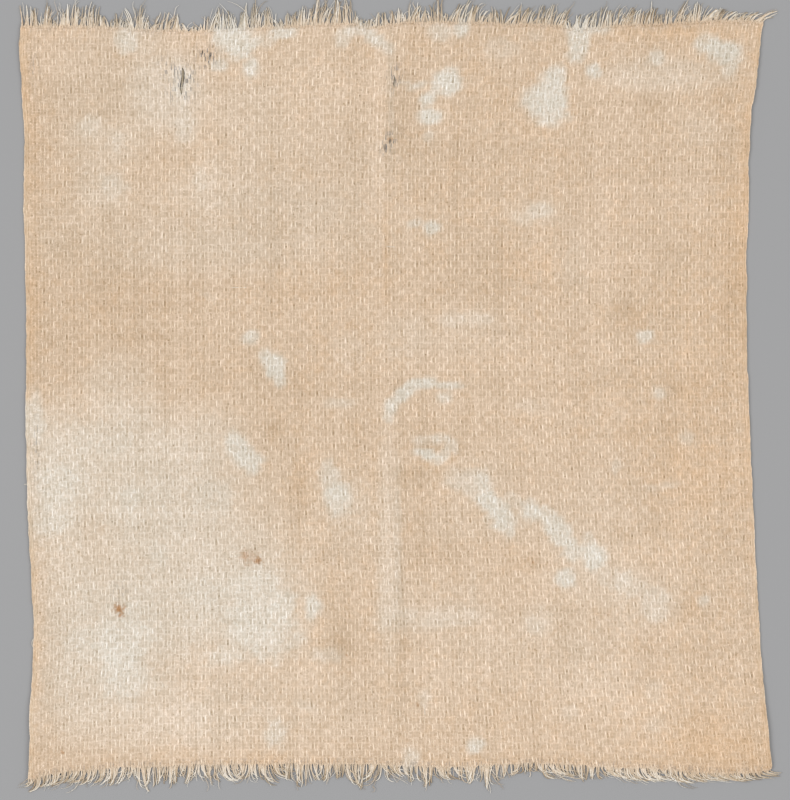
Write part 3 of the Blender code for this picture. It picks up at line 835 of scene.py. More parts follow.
def crossing_yarns(tree, ends, picks, end, pick):
    """The swell of the yarn on top, its own shade, and the same two for the end, whichever is on top. A
    yarn's swell is the sine of what is left over of its count, times pi."""
    swells = [calc(tree, "SINE", times(tree, calc(tree, "FRACT", count), math.pi)) for count in (ends, picks)]
    odd = calc(tree, "FLOORED_MODULO", plus(tree, end, pick), 2.0)
    swell = node(tree, "Mix", [(0, odd), (2, swells[1]), (3, swells[0])]).outputs[0]
    own_end = times_plus(tree, slubs(tree, end, picks, APART, END_STEP), END_SLUBS, -END_SLUBS / 2)
    own_pick = times_plus(tree, slubs(tree, ends, pick, PICK_STEP, APART), PICK_SLUBS, -PICK_SLUBS / 2)
    own = node(tree, "Mix", [(0, odd), (2, own_pick), (3, own_end)]).outputs[0]
    return swell, own, swells[0], own_end


# %% Shade of the ground
CROSSING_NOISE = 0.22  # how much single crossings differ
FIBRE_NOISE = 0.36  # and how much their fibres do
OWN_SHARE = 0.7  # how far the shade of the yarn on top counts, besides its end's
COLUMN_LIGHT = 0.065  # the ends that float stay a little lighter in between
PLAIN_DARK = 0.085  # of the plain squares
SMOOTHER = 0.55  # the share of both noises that the plain squares lack
ARCH_PAINTED_LIGHT = 0.085  # painted light on the picks that stand up a little round the plain squares
GAP_PAINTED_SHADE = 0.25  # painted shade of the darkest gap between a pair's floats
# Rare crossings: specks are lighter, as painted glints on slubs, and flecks are darker.
# Each has a seed, the chances between which it begins, and two amounts
PAINTED_GLINT_SPECKS = (9.0, 0.965, 0.985, 0.0, 0.20)
FLECKS = (11.0, 0.975, 0.990, 0.0, 0.22)
# The dark between two yarns is painted shade, and what a swell adds is painted light
SWELL_PAINTED_LIGHT, BETWEEN_PAINTED_SHADE = 0.44, 0.72  # brightness between two yarns is the second; a swell adds the first


def ground_shade(tree, place, ends, picks, end, pick):
    """Brightness of the plain weave and its pattern, about 1, with painted light and shade, and the two
    swells.
    """
    plain, gap, lit_arch, column = weave_pattern(tree, ends, picks)
    swell, own, end_swell, own_end = crossing_yarns(tree, ends, picks, end, pick)
    uneven = times_plus(tree, plain, -SMOOTHER, 1.0)
    crossing = times_plus(tree, chance(tree, end, pick, seed=1.0), CROSSING_NOISE, -CROSSING_NOISE / 2)
    fibres = times_plus(tree, grain(tree, place), FIBRE_NOISE, -FIBRE_NOISE / 2)
    shade = times_plus(tree, plus(tree, crossing, fibres), uneven, 1.0)
    shade = plus(tree, shade, plus(tree, own_end, times(tree, own, OWN_SHARE)))
    for share, amount in ((column, COLUMN_LIGHT), (lit_arch, ARCH_PAINTED_LIGHT), (plain, -PLAIN_DARK), (gap, -GAP_PAINTED_SHADE)):
        shade = times_plus(tree, share, amount, shade)
    glint_speck, fleck = (ramp(tree, chance(tree, end, pick, seed), *steps) for seed, *steps in (PAINTED_GLINT_SPECKS, FLECKS))
    shade = plus(tree, shade, minus(tree, glint_speck, fleck))
    return times(tree, shade, times_plus(tree, swell, SWELL_PAINTED_LIGHT, BETWEEN_PAINTED_SHADE)), swell, end_swell


# %% Ground material
# A sheer place shows the table's grey between its ends, darkened as painted shade under the cloth
TABLE_IN_PAINTED_SHADE = (0.16, 0.155, 0.155, 1)  # what a sheer place shows between its ends
WORN_PICKS = 3.0  # a sheer place opens over this many picks at a time
TORN = (0.58, 0.72)  # chances between which it opens
BETWEEN_ENDS = (0.95, 0.60)  # swells of an end at which the gap beside it begins and is full


def ground_material():
    """Linen's colour times the weave's shade, with the table in painted shade between the ends in sheer
    places.
    """
    material, tree, shader = new_material("linen_ground", roughness=0.9, sheen=0.1)
    place = node(tree, "TexCoord").outputs["Object"]
    ends, picks, end, pick = yarn_counts(tree)
    color, brightness, sheer = linen_color(tree, GROUND_TAN, GROUND_PALE, GROUND_ORANGE, place)
    shade, swell, end_swell = ground_shade(tree, place, ends, picks, end, pick)
    space = whole(tree, plus(tree, ends, 0.5))
    worn = whole(tree, calc(tree, "DIVIDE", picks, WORN_PICKS))
    torn = ramp(tree, chance(tree, space, worn, seed=5.0), *TORN)
    through = times(tree, sheer, times(tree, torn, ramp(tree, end_swell, *BETWEEN_ENDS)))
    color = blend_colors(tree, through, shaded(tree, color, times(tree, shade, brightness)), TABLE_IN_PAINTED_SHADE)
    tree.links.new(color, shader.inputs["Base Color"])
    bump = node(tree, "Bump", [("Height", swell), ("Strength", 0.5), ("Distance", 0.0002)])
    tree.links.new(bump.outputs[0], shader.inputs["Normal"])
    print("ground material:", len(tree.nodes), "nodes")
    return material


LINEN_GROUND = ground_material()

# %% [markdown]
# ## The sheet
# The cloth itself is one thin closed sheet: an upper grid, a lower grid, and a rim between them. Its grid
# lines lie at quarters of a block, so that they hit the top of each pillow and the bottom of each hollow.
# Where yarns have broken there are slits, and the table shows through. A slit is a grid column whose
# points are doubled and drawn apart for a few rows, with walls between the two faces.

# %% Slits in the sheet
SLIT_COLUMNS = ("x_px", "low_y_px", "high_y_px", "wide")
SLITS = (
    (182.4, 95, 68, 1.45), (209.8, 62, 53, 0.7), (394.3, 87, 78, 0.65), (390.2, 146, 136, 0.7),
    (202.5, 56, 48.5, 0.6), (385, 151, 144, 0.5),
)
SLIT_BEND = 0.38  # how far a slit winds to each side, as a share of its width
BEND_START = 0.4  # the angle at which it begins on that sine
SLIT_ROUND = 0.6  # power of the sine that a slit opens by: below 1, its ends are blunter
GRID_PER_BLOCK = 4
LOWER_RIM, LOWER_REACH = 0.2, 0.8  # the underside turns up by this much at an edge, over this far


def grid_shares(blocks, share_at):
    """The blocks and shares of the grid lines: every quarter block, and the far edge."""
    lines = np.append(np.arange(0, blocks - 0.5 / GRID_PER_BLOCK, 1 / GRID_PER_BLOCK), blocks)
    return lines, share_at(lines)


column_blocks, column_shares = grid_shares(BLOCKS_WIDE, across_at)
row_blocks, row_shares = grid_shares(BLOCKS_HIGH, up_at)
ACROSS, UP = np.meshgrid(column_shares, row_shares)
OVER, ALONG = np.meshgrid(column_blocks, row_blocks)
PLAN = in_plan(ACROSS, UP)
print("grid of", ACROSS.shape[1], "by", ACROSS.shape[0])


# %% Points and walls of the sheet
def sheet_points():
    """Points of both faces before any slit: the plan with the face's height, then with the underside's."""
    upper = np.dstack([PLAN, face(ACROSS, UP, OVER, ALONG)])
    to_edge = np.minimum(to_side(ACROSS), to_end(UP))
    lower = np.dstack([PLAN, underside(ACROSS, UP) + LOWER_RIM * np.exp(-((to_edge / LOWER_REACH) ** 2))])
    return upper, lower


def nearest_line(x_px, y_px):
    """The grid column and row nearest to a picture point."""
    x, y = at_pixel(x_px, y_px)
    return np.unravel_index(np.argmin(np.hypot(PLAN[..., 0] - x, PLAN[..., 1] - y)), ACROSS.shape)


def wall(line, count):
    """Quads down from a run of upper points to the lower ones, facing right of the way that the run goes."""
    return np.stack([line[:-1], line[:-1] + count, line[1:] + count, line[1:]], axis=-1)


def slit_places():
    """Each slit's grid column, its first and last row, its middle's x and its width."""
    for slit in named(SLIT_COLUMNS, SLITS):
        first, column = nearest_line(slit["x_px"], slit["low_y_px"])
        last, _ = nearest_line(slit["x_px"], slit["high_y_px"])
        yield column, first, max(last, first + 2), at_pixel(slit["x_px"], 0)[0], slit["wide"]


# %% Open the slits and join the faces
def build_sheet():
    """Points and quads of the sheet, the grid point that each upper point comes from, and how many of the
    quads are on the face. right_of and left_of number the points that faces right and left of a line use."""
    upper, lower = sheet_points()
    rows, columns = ACROSS.shape
    count = rows * columns
    left_of = np.arange(count).reshape(rows, columns)
    right_of = left_of.copy()
    faces_of_points = [[upper], [lower]]
    sources = [np.arange(count)]
    places = list(slit_places())
    for column, first, last, x, wide in places:
        inner = np.arange(first + 1, last)
        share = (np.arange(first, last + 1) - first) / (last - first)
        open_by = wide / 2 * np.sin(np.pi * share[1:-1]) ** SLIT_ROUND
        bend = -SLIT_BEND * wide * np.sin(np.linspace(BEND_START, 2 * np.pi, last + 1 - first))
        for grid, group in zip((upper, lower), faces_of_points):
            grid[first : last + 1, column, 0] = x + bend
            doubled = grid[inner, column].copy()
            grid[inner, column, 0] -= open_by
            doubled[:, 0] += open_by
            group.append(doubled)
        sources.append(left_of[inner, column])
        right_of[inner, column] = count + np.arange(len(inner))
        count += len(inner)
    points = np.concatenate([part.reshape(-1, 3) for group in faces_of_points for part in group])
    corners = [right_of[:-1, :-1], left_of[:-1, 1:], left_of[1:, 1:], right_of[1:, :-1]]
    quads = np.stack(corners, axis=-1).reshape(-1, 4)
    runs = [left_of[0, :], left_of[::-1, 0], left_of[-1, ::-1], left_of[:, -1]]
    for column, first, last, _, _ in places:
        runs += [left_of[first : last + 1, column], right_of[first : last + 1, column][::-1]]
    faces = np.concatenate([quads, quads[:, ::-1] + count] + [wall(run, count) for run in runs])
    return points, faces, np.concatenate(sources), len(quads)


points, faces, source, quad_count = build_sheet()
print(len(points), "points and", len(faces), "quads")

# %% Maps and tint of the sheet
from_grid = np.concatenate([source, source])
FACE_SHARE = 0.93  # of the bake's map that the upper face has; the underside has the strip beside it
STRIP = (0.98 - FACE_SHARE, 0.98)
STRIP_AT = (FACE_SHARE + 0.01, 0.01)


def corner_map(over, up):
    """Two grids of numbers as a map: a pair for each corner of each face."""
    return np.stack([over.ravel(), up.ravel()], axis=-1)[from_grid][faces.ravel()]


is_upper = np.repeat(np.arange(len(faces)) < quad_count, 4)[:, None]
shares_map = corner_map(ACROSS, UP)
bake_map = np.where(is_upper, shares_map * (FACE_SHARE, 1), shares_map * STRIP + STRIP_AT)
sheet_maps = {"OFBake": bake_map, "weave": corner_map(OVER, ALONG) * ENDS}
sheet_tint = tint_at(ACROSS, UP).reshape(-1, 4)[from_grid]
linen_sheet = add_piece("linen_sheet", points, [faces], LINEN_GROUND, sheet_maps, sheet_tint)

# %% [markdown]
# ## Yarns as tubes
# Floats, fringe threads and selvedge cords are all yarns, so one function makes them: it carries an oval
# section along many paths at once. A path's first and last points are tips, and the rest carry rings.
# At each ring the section's sideways axis is the path's direction crossed with up, so a yarn keeps its
# flatter side on the cloth. Each yarn gets its own cell in the map for baking.


# %% Faces and map of one tube
ROUND = np.linspace(0, 2 * np.pi, 6, endpoint=False)  # angles of the points of a round section
CELL_MARGIN = 0.04  # of its cell in the bake's map, which a yarn leaves free on each side
THICK_LIMITS = (0.7, 1.3)  # no yarn is thinner or thicker than these shares of its kind's thickness


def tube_faces(sides, rings):
    """Quads and triangles of one tube. Point 0 is the first tip, then come the rings, then the last tip."""
    side = np.arange(sides)
    after = (side + 1) % sides
    last_ring = 1 + (rings - 1) * sides
    step = (np.arange(rings - 1) * sides)[:, None] + 1
    quads = np.stack([step + side, step + sides + side, step + sides + after, step + after], axis=-1)
    start_fan = np.stack([np.zeros(sides, int), 1 + side, 1 + after], axis=-1)
    end_fan = np.stack([np.full(sides, rings * sides + 1), last_ring + after, last_ring + side], axis=-1)
    return quads.reshape(-1, 4), np.concatenate([start_fan, end_fan])


def pairs(*corners):
    """Map points from (over, up) for each corner of a face, spread over all the faces."""
    spread = [np.stack(np.broadcast_arrays(over, up), axis=-1) for over, up in corners]
    return np.stack(np.broadcast_arrays(*spread), axis=-2).reshape(-1, 2)


def tube_map(sides, rings):
    """The same faces in a unit square: a point lies over by its angle and up by its ring."""
    here = np.arange(sides) / sides
    there = (np.arange(sides) + 1) / sides
    middle = (here + there) / 2
    level = np.arange(1, rings + 1) / (rings + 1)
    low, high = level[:-1, None], level[1:, None]
    quads = pairs((here, low), (here, high), (there, high), (there, low))
    start_fan = pairs((middle, 0), (here, level[0]), (there, level[0]))
    end_fan = pairs((middle, 1), (there, level[-1]), (here, level[-1]))
    return quads, np.concatenate([start_fan, end_fan])


print("a tube of six sides and three rings has", sum(len(group) for group in tube_faces(6, 3)), "faces")


# %% Tubes along many paths
def tubes(name, paths, wide, high, tint, material, angles, cells):
    """Closed tubes in one mesh. A ring's point is the path's point, plus half the width times the cosine of
    its angle sideways, plus half the height times the sine upwards. paths is (tubes, stations, 3)."""
    number, stations, _ = paths.shape
    sides, rings = len(angles), stations - 2
    ahead = np.gradient(paths, axis=1)
    ahead /= np.linalg.norm(ahead, axis=2, keepdims=True)
    sideways = np.cross(ahead, (0, 0, 1))
    sideways /= np.linalg.norm(sideways, axis=2, keepdims=True)
    upright = np.cross(sideways, ahead)
    inner = slice(1, -1)
    ring = (
        paths[:, inner, None]
        + (wide / 2)[:, inner, None, None] * np.cos(angles)[:, None] * sideways[:, inner, None]
        + (high / 2)[:, inner, None, None] * np.sin(angles)[:, None] * upright[:, inner, None]
    )
    points = np.concatenate([paths[:, :1], ring.reshape(number, rings * sides, 3), paths[:, -1:]], axis=1)
    offset = (np.arange(number) * (rings * sides + 2))[:, None, None]
    faces = [(offset + group).reshape(-1, group.shape[1]) for group in tube_faces(sides, rings)]
    cell = np.stack([np.arange(number) % cells[0], np.arange(number) // cells[0]], axis=-1)[:, None]
    bake_map, yarn_map = [], []
    for group in tube_map(sides, rings):
        in_cell = (cell + CELL_MARGIN + (1 - 2 * CELL_MARGIN) * group) / cells
        bake_map.append(in_cell.reshape(-1, 2))
        yarn_map.append(np.tile(group, (number, 1)))
    maps = {"OFBake": np.concatenate(bake_map), "yarn": np.concatenate(yarn_map)}
    tint = np.concatenate([tint[:, :1], np.repeat(tint[:, inner], sides, axis=1), tint[:, -1:]], axis=1)
    return add_piece(name, points.reshape(-1, 3), faces, material, maps, tint.reshape(-1, 4))

# %% [markdown]
# ## Yarn finish
# Single linen yarns are coloured lighter than the ground, a painted sheen of fibres that lie in one
# direction and catch the light. The colour comes from the same function, shaded by a random number that
# each yarn carries, with fine lengthwise fibres and the slant of the twist in the bump.

# %% Yarn material
# Linen's colours for yarns, lighter than the ground's by a painted sheen
YARN_TAN = (0.750, 0.605, 0.456, 1)
YARN_PALE = (0.760, 0.716, 0.637, 1)
YARN_ORANGE = (0.740, 0.545, 0.370, 1)
FIBRE_SCALE = (5, 1.2, 1)  # fibres over a yarn, and the number of changes along it
FIBRE_SHADE = (0.20, 0.90)  # the fibres' noise times the first, plus the second, is the shade
STREAK_SHADE = (0.46, 0.78)  # the same for the streaks up the cloth
PLIES = 2


def yarn_material(name, twist):
    """Linen's colour, shaded by fibres and streaks. The bump is the sine of the angle plus twist."""
    material, tree, shader = new_material(name, roughness=0.85, sheen=0.15)
    place = node(tree, "TexCoord").outputs["Object"]
    color, brightness, _ = linen_color(tree, YARN_TAN, YARN_PALE, YARN_ORANGE, place)
    along_yarn = node(tree, "UVMap", uv_map="yarn").outputs[0]
    squeezed = node(tree, "Mapping", [("Vector", along_yarn), ("Scale", FIBRE_SCALE)]).outputs[0]
    fibres = noise(tree, squeezed, scale=2.0, detail=3.0)
    shade = times(tree, brightness, times_plus(tree, fibres, *FIBRE_SHADE))
    shade = times(tree, shade, times_plus(tree, grain(tree, place), *STREAK_SHADE))
    tree.links.new(shaded(tree, color, shade), shader.inputs["Base Color"])
    counted = node(tree, "SeparateXYZ", [(0, along_yarn)])
    slant = times_plus(tree, counted.outputs[1], twist, counted.outputs[0])
    ply = calc(tree, "SINE", times(tree, slant, PLIES * 2 * math.pi))
    bump = node(tree, "Bump", [("Height", plus(tree, ply, fibres)), ("Strength", 0.35), ("Distance", 0.0001)])
    tree.links.new(bump.outputs[0], shader.inputs["Normal"])
    return material


FLOAT_YARN = yarn_material("linen_float", 1.0)
LOOSE_YARN = yarn_material("linen_thread", 12.0)
print("yarn materials:", FLOAT_YARN.name, "and", LOOSE_YARN.name)

# %% [markdown]
# ## The floats
# Every block has two pairs of floats, in the lower half row at its first quarter and in the upper one at
# its third. A weaver's threading slip runs the whole height of one block near the left: there one half row
# has four weak floats side by side and the other has none. Five picks is the length of a float, and it
# swells a little over its neighbours at both ends.

# %% Place the floats
SLIP_X_PX = 195.0  # middle of the block with the threading slip
PAIR_HALF = 0.122  # from a pair's middle to each of its floats, in blocks
SLIP_OFFSETS = (-0.42, -0.14, 0.14, 0.42)  # of the four weak floats, in blocks
WEAK = 0.72  # thickness of those, as a share
SELVEDGE_CLEAR = (6.6, 4.2)  # no float lies nearer to the left or the right side than this
END_CLEAR = 1.6
SLIT_CLEAR = (0.6, 1.5)  # nor nearer to a slit's sides or ends


def float_places():
    """Middles of all floats, in blocks over and along, and how strong each is."""
    slip_share = (at_pixel(SLIP_X_PX, 0)[0] - in_plan(0.0, 0.5)[0]) / WIDTH
    slip = np.floor(np.interp(slip_share, SHARE_STEPS, BLOCKS_ACROSS))
    block, half_row = np.meshgrid(np.arange(int(BLOCKS_WIDE) + 1), np.arange(int(BLOCKS_HIGH * 2)))
    block, half_row = block.ravel(), half_row.ravel()
    odd = half_row % 2 == 1
    groups = []
    for chosen, middle, offsets, strength in (
        (block != slip, np.where(odd, 0.75, 0.25), (-PAIR_HALF, PAIR_HALF), 1.0),
        ((block == slip) & odd, np.full(len(block), 0.5), SLIP_OFFSETS, WEAK),
    ):
        over = (block + middle)[chosen][:, None] + np.array(offsets)
        along_up = ((half_row + 0.5) / 2)[chosen][:, None] + np.zeros(len(offsets))
        groups.append((over.ravel(), along_up.ravel(), np.full(over.size, strength)))
    return [np.concatenate(column) for column in zip(*groups)]


def keep_floats(over, up_blocks):
    """False for floats outside the weave, on a selvedge or over a slit."""
    across, up = across_at(over), up_at(up_blocks)
    inside = (over > 0) & (over < BLOCKS_WIDE) & (up_blocks < BLOCKS_HIGH)
    inside &= (across * WIDTH > SELVEDGE_CLEAR[0]) & ((1 - across) * WIDTH > SELVEDGE_CLEAR[1])
    inside &= to_end(up) > END_CLEAR
    plan = in_plan(across, up)
    for slit in named(SLIT_COLUMNS, SLITS):
        x, low = at_pixel(slit["x_px"], slit["low_y_px"])
        high = at_pixel(0, slit["high_y_px"])[1]
        beside = abs(plan[:, 0] - x) < SLIT_CLEAR[0] + slit["wide"] / 2
        inside &= ~(beside & (plan[:, 1] > low - SLIT_CLEAR[1]) & (plan[:, 1] < high + SLIT_CLEAR[1]))
    return inside


places = float_places()
kept = keep_floats(*places[:2])
float_over, float_up, float_strength = (column[kept] for column in places)
print(len(float_over), "floats")


# %% Shape the floats
FLOAT_LENGTH, FLOAT_WIDTH, FLOAT_HEIGHT = 3.75, 0.66, 0.42
PICKS_LONG = 6.4  # millimetres in a block's height, near enough for the floats' ends
STATIONS = (-1.0, -0.72, 0.0, 0.72, 1.0)  # along a float, in half lengths
SWELL = (0.0, 0.80, 1.0, 0.80, 0.0)  # its section there
LIFT = (-0.26, 0.01, 0.06, 0.01, -0.26)  # its middle above the face, in millimetres
FLOAT_ANGLES = (0, 45, 90, 135, 180, 270)  # the hidden side has fewer points
LEAN_LOW_RIGHT = 0.05  # extra lean to the left at the top, in blocks, towards the lower right corner
# How much floats differ: over and up in blocks, length and thickness as shares, lean in blocks
DIFFER = {"over": 0.008, "up": 0.018, "length": 0.08, "lean": 0.005, "thick": 0.10}
DIMMEST, BRIGHTER = 0.84, 0.26  # a float's own shade is the first plus a share of the second
NEAR_MIDDLE = 2.2  # both powers of the beta distribution of those shares: above 1, few lie at its ends
FLAT_LIFT, ROUND_LIFT = 0.4, 0.6  # the part of the lift that all floats have, and the part by thickness


def shape_floats(name, chosen, cells):
    """Spindles that follow the weave: a station's place is the weave's own place at that many blocks up."""
    random = np.random.default_rng(7)
    number = len(float_over)
    over = float_over + random.normal(0, DIFFER["over"], number)
    middle = float_up + random.normal(0, DIFFER["up"], number)
    length = FLOAT_LENGTH * random.normal(1, DIFFER["length"], number)
    low_right = smooth_step(over / BLOCKS_WIDE) * smooth_step(1.3 - 1.5 * middle / BLOCKS_HIGH)
    lean = random.normal(0, DIFFER["lean"], number) - LEAN_LOW_RIGHT * low_right
    thick = float_strength * random.normal(1, DIFFER["thick"], number).clip(*THICK_LIMITS)
    shade = DIMMEST + BRIGHTER * random.beta(NEAR_MIDDLE, NEAR_MIDDLE, number)
    columns = (over, middle, length, lean, thick, shade)
    over, middle, length, lean, thick, shade = (values[chosen, None] for values in columns)
    up_blocks = middle + np.array(STATIONS) * (length / 2 / PICKS_LONG)
    over_blocks = over + lean * STATIONS
    across, up = across_at(over_blocks), up_at(up_blocks)
    height = face(across, up, over_blocks, up_blocks) + np.array(LIFT) * (FLAT_LIFT + ROUND_LIFT * thick)
    section = np.array(SWELL) * thick
    tint = tint_at(across, up)
    tint[..., 2] *= shade
    paths = np.dstack([in_plan(across, up), height])
    sizes = (FLOAT_WIDTH * section, FLOAT_HEIGHT * section)
    return tubes(name, paths, *sizes, tint, FLOAT_YARN, np.radians(FLOAT_ANGLES), cells)


left_half = float_over < BLOCKS_WIDE / 2
cells_wide = math.ceil(math.sqrt(max(left_half.sum(), (~left_half).sum())))
halves = {"floats_left": left_half, "floats_right": ~left_half}
floats = [shape_floats(name, half, (cells_wide, cells_wide)) for name, half in halves.items()]

# %% [markdown]
# ## The fringes
# At each cut end the last picks have fallen out, and the warp ends have come together in tufts like small
# flames. Each tuft is read off the picture: where it is rooted, how far it reaches and how far its tip
# leans to the right. Every warp end is then a thread of its own, drawn towards its tuft's tip, longer in
# the tuft's middle than at its sides, with a little curl.

# %% Tufts, from left to right
# Each tuft has its root's column in the picture, its reach and its lean, all in pixels
TOP_TUFTS = (
    (22, 18, 1), (29, 24, 0), (35, 19, -1), (40, 8, 0), (46, 19, 2), (54, 7, 0), (61, 19, 2), (69, 25, 2),
    (77, 21, 3), (86, 20, 3), (95, 18, 2), (101, 11, 0), (107, 11, 0), (112, 8, 0), (117, 14, 0),
    (125, 7, 0), (132, 20, -1), (138, 26, 1), (143, 16, 1), (148, 9, 0), (155, 19, 1), (162, 21, 1),
    (172, 15, 2), (177, 16, -1), (183, 7, 0), (189, 7, 0), (195, 6, 0), (200, 8, 0), (205, 14, 2),
    (211, 20, 5), (222, 19, -1), (230, 18, -3), (240, 16, 1), (251, 24, 2), (263, 16, 1), (272, 18, 0),
    (281, 8, -1), (287, 13, 0), (293, 12, 2), (301, 18, 2), (308, 18, 3), (315, 24, 5), (327, 19, 4),
    (338, 22, 3), (348, 22, -1), (356, 8, 0), (362, 7, 0), (369, 7, 1), (382, 16, 2), (391, 12, 1),
    (398, 14, 1), (404, 12, 1), (413, 19, 3), (421, 15, 3), (427, 18, 2), (439, 22, 1), (446, 8, 3),
    (453, 17, 6), (463, 21, 7), (471, 18, 6), (480, 15, 6), (488, 8, 2), (497, 16, 1), (508, 17, 9),
    (516, 18, 7), (527, 14, 5), (538, 17, 6), (549, 17, 7), (558, 19, 6), (568, 8, 2), (575, 13, 1),
    (581, 16, 2), (591, 16, 3), (601, 18, 3), (608, 15, 2), (616, 16, 6), (627, 16, 7), (637, 15, 3),
    (650, 20, 5), (658, 10, 3), (667, 13, 3), (678, 17, 8), (688, 9, 4), (696, 19, 3), (706, 13, 8),
    (716, 11, 8), (727, 8, 9), (738, 8, 9), (749, 8, 10), (758, 10, 15),
)
BOTTOM_TUFTS = (
    (30, 7, -8), (40, 14, -8), (55, 13, -9), (65, 13, -12), (78, 14, -12), (90, 14, -8), (105, 15, -7),
    (115, 16, -7), (125, 15, -8), (131, 10, -3), (141, 20, 4), (158, 19, -5), (164, 14, -3), (172, 17, -1),
    (182, 12, 0), (193, 15, -3), (203, 18, 4), (212, 17, 4), (224, 17, 10), (235, 18, 8), (245, 16, -8),
    (255, 16, 3), (264, 19, 10), (277, 13, 14), (291, 19, 3), (305, 19, 0), (315, 16, 3), (325, 14, -5),
    (337, 14, -2), (352, 21, 9), (362, 22, 0), (373, 20, -8), (390, 14, 7), (405, 12, 5), (411, 16, 0),
    (421, 15, 7), (427, 18, -1), (440, 13, 8), (452, 14, 12), (464, 13, 5), (476, 15, -3), (488, 20, 1),
    (493, 17, 7), (500, 14, 0), (516, 12, -4), (530, 9, 1), (545, 13, 14), (556, 13, 17), (570, 11, 6),
    (581, 16, 3), (595, 11, 4), (606, 10, 13), (622, 12, 14), (634, 12, 15), (650, 11, 13), (664, 12, 15),
    (676, 13, 14), (690, 9, 15), (704, 8, 15), (716, 7, 15), (728, 8, 17), (742, 7, 13), (754, 6, 12),
    (766, 5, 14),
)


# %% Single threads, drawn one by one
# Each thread has the four control points of its curve, as x and y in the picture
TOP_STRAYS = (
    (250, 27, 250, 12, 240, 4, 226, 1), (233, 27, 231, 14, 224, 8, 219, 3),
    (222, 28, 214, 20, 214, 10, 220, 5), (256, 24, 256, 10, 262, 2, 268, 1),
    (136, 26, 138, 14, 130, 8, 134, 1), (345, 26, 352, 6, 338, 2, 334, 12), (30, 26, 20, 16, 26, 8, 22, 2),
    (72, 24, 78, 12, 72, 4, 80, 1), (352, 24, 356, 8, 346, 3, 341, 8), (418, 22, 420, 8, 410, 6, 414, 1),
    (470, 22, 480, 12, 474, 4, 486, 3), (562, 24, 566, 8, 576, 6, 574, 1),
    (690, 24, 694, 14, 684, 6, 688, 1), (760, 18, 766, 14, 772, 12, 777, 9),
    (752, 18, 762, 16, 768, 13, 771, 13), (318, 24, 326, 14, 318, 4, 326, 2),
    (600, 22, 600, 10, 610, 4, 606, 1), (170, 24, 178, 14, 172, 8, 180, 5),
)
BOTTOM_STRAYS = (
    (32, 774, 28, 779, 24, 782, 18, 786), (86, 770, 92, 778, 84, 784, 88, 788),
    (206, 770, 200, 778, 214, 784, 206, 792), (214, 770, 222, 780, 216, 786, 221, 790),
    (346, 770, 350, 780, 360, 786, 366, 790), (376, 768, 378, 784, 366, 788, 361, 784),
    (372, 786, 376, 788, 376, 792, 371, 792), (411, 766, 409, 774, 413, 780, 411, 786),
    (386, 768, 392, 778, 402, 778, 409, 785), (424, 770, 420, 780, 430, 784, 425, 792),
    (488, 770, 486, 782, 492, 788, 490, 794), (492, 772, 494, 782, 500, 782, 504, 790),
    (528, 768, 534, 776, 526, 780, 531, 774), (440, 768, 446, 778, 458, 778, 467, 782),
    (552, 768, 556, 780, 568, 778, 577, 782), (604, 768, 612, 778, 626, 776, 636, 781),
    (640, 768, 650, 778, 668, 778, 678, 783), (700, 768, 710, 776, 730, 776, 742, 780),
    (738, 768, 748, 774, 764, 772, 778, 775), (150, 770, 140, 780, 152, 788, 146, 794),
    (272, 768, 276, 780, 286, 776, 294, 782),
)
THREAD_STATIONS = 15


def stray_courses(strays):
    """Plan points of single threads drawn one by one: cubic Bezier curves through picture coordinates."""
    control = np.array(strays, float).reshape(-1, 4, 2)
    t = np.linspace(0, 1, THREAD_STATIONS)
    weights = np.stack([(1 - t) ** 3, 3 * t * (1 - t) ** 2, 3 * t**2 * (1 - t), t**3], axis=-1)
    curve = np.einsum("tk,nkc->ntc", weights, control)
    return at_pixel(curve[..., 0], curve[..., 1])


print(len(TOP_STRAYS) + len(BOTTOM_STRAYS), "drawn threads")

# %% [markdown]
# ## How a thread of the fringe runs
# The upper fringe stands up and leans a little, and the lower one droops and sweeps to the right. So each
# has its own way: how the lean grows from root to tip, how far a tip turns flat, how strongly a tuft gathers,
# how slack the threads are, and how often a new small clump begins.

# %% How the threads differ
TOP_WAY = {"outward": 1, "sweep": 1.35, "drop": 0.35, "gather": 0.20, "slack": 0.38, "clumps": 0.42}
BOTTOM_WAY = {"outward": -1, "sweep": 2.1, "drop": 1.0, "gather": 0.55, "slack": 0.75, "clumps": 0.30}
BEFORE_EDGE = np.array([-1.0, -0.72, -0.2])  # stations on the cloth, as shares of the inset
AFTER_EDGE = np.linspace(0.05, 1, THREAD_STATIONS - 3)  # and beyond its edge, as shares of the reach
ROOT_INSET = 1.7  # how far inside the woven edge a thread's modelled part begins, at most
LEAST_INSET = 0.35  # and at least, as a share of that
TUFT_MIDDLE, TUFT_SIDES = 0.99, 0.14  # share of a tuft's reach in its middle, and what its sides lose
SHORT_SHARE, SHORT = 0.15, (0.35, 0.8)  # this share of the threads has broken off between these shares
LONE_REACH = (-0.4, 0.28)  # how much shorter or longer a stray hair is
LEAST_REACH = 1.6
CLUMP_REACH, CLUMP_LEAN, CLUMP_PULL = 0.11, 0.9, 0.6  # how much clumps differ, and pull their threads
OWN_REACH = 0.07  # how much single threads differ in reach, as a share
TUFT_LEAN, OWN_LEAN, LONE_LEAN = 0.2, 0.35, 1.6  # and in lean: by share of the tuft's, and in millimetres
TUFT_POWER, CLUMP_POWER = 1.8, 0.35  # tufts draw together near the tips, and clumps right at the root
WAVES, WAVE_SHARE = 7, 0.35


# %% Tuft of each thread
def tufts_of(root_x, tufts):
    """Each root's tuft, where it lies in it from -1 to 1, and half the tuft's width. A tuft reaches halfway
    to the next one."""
    middle = at_pixel(np.array(tufts, float)[:, 0], 0)[0]
    borders = (middle[1:] + middle[:-1]) / 2
    mine = np.searchsorted(borders, root_x)
    low = np.concatenate([root_x[:1], borders])[mine]
    high = np.concatenate([borders, root_x[-1:]])[mine]
    half = np.maximum((high - low) / 2, 0.5)
    return mine, np.clip((root_x - (low + high) / 2) / half, -1, 1), half


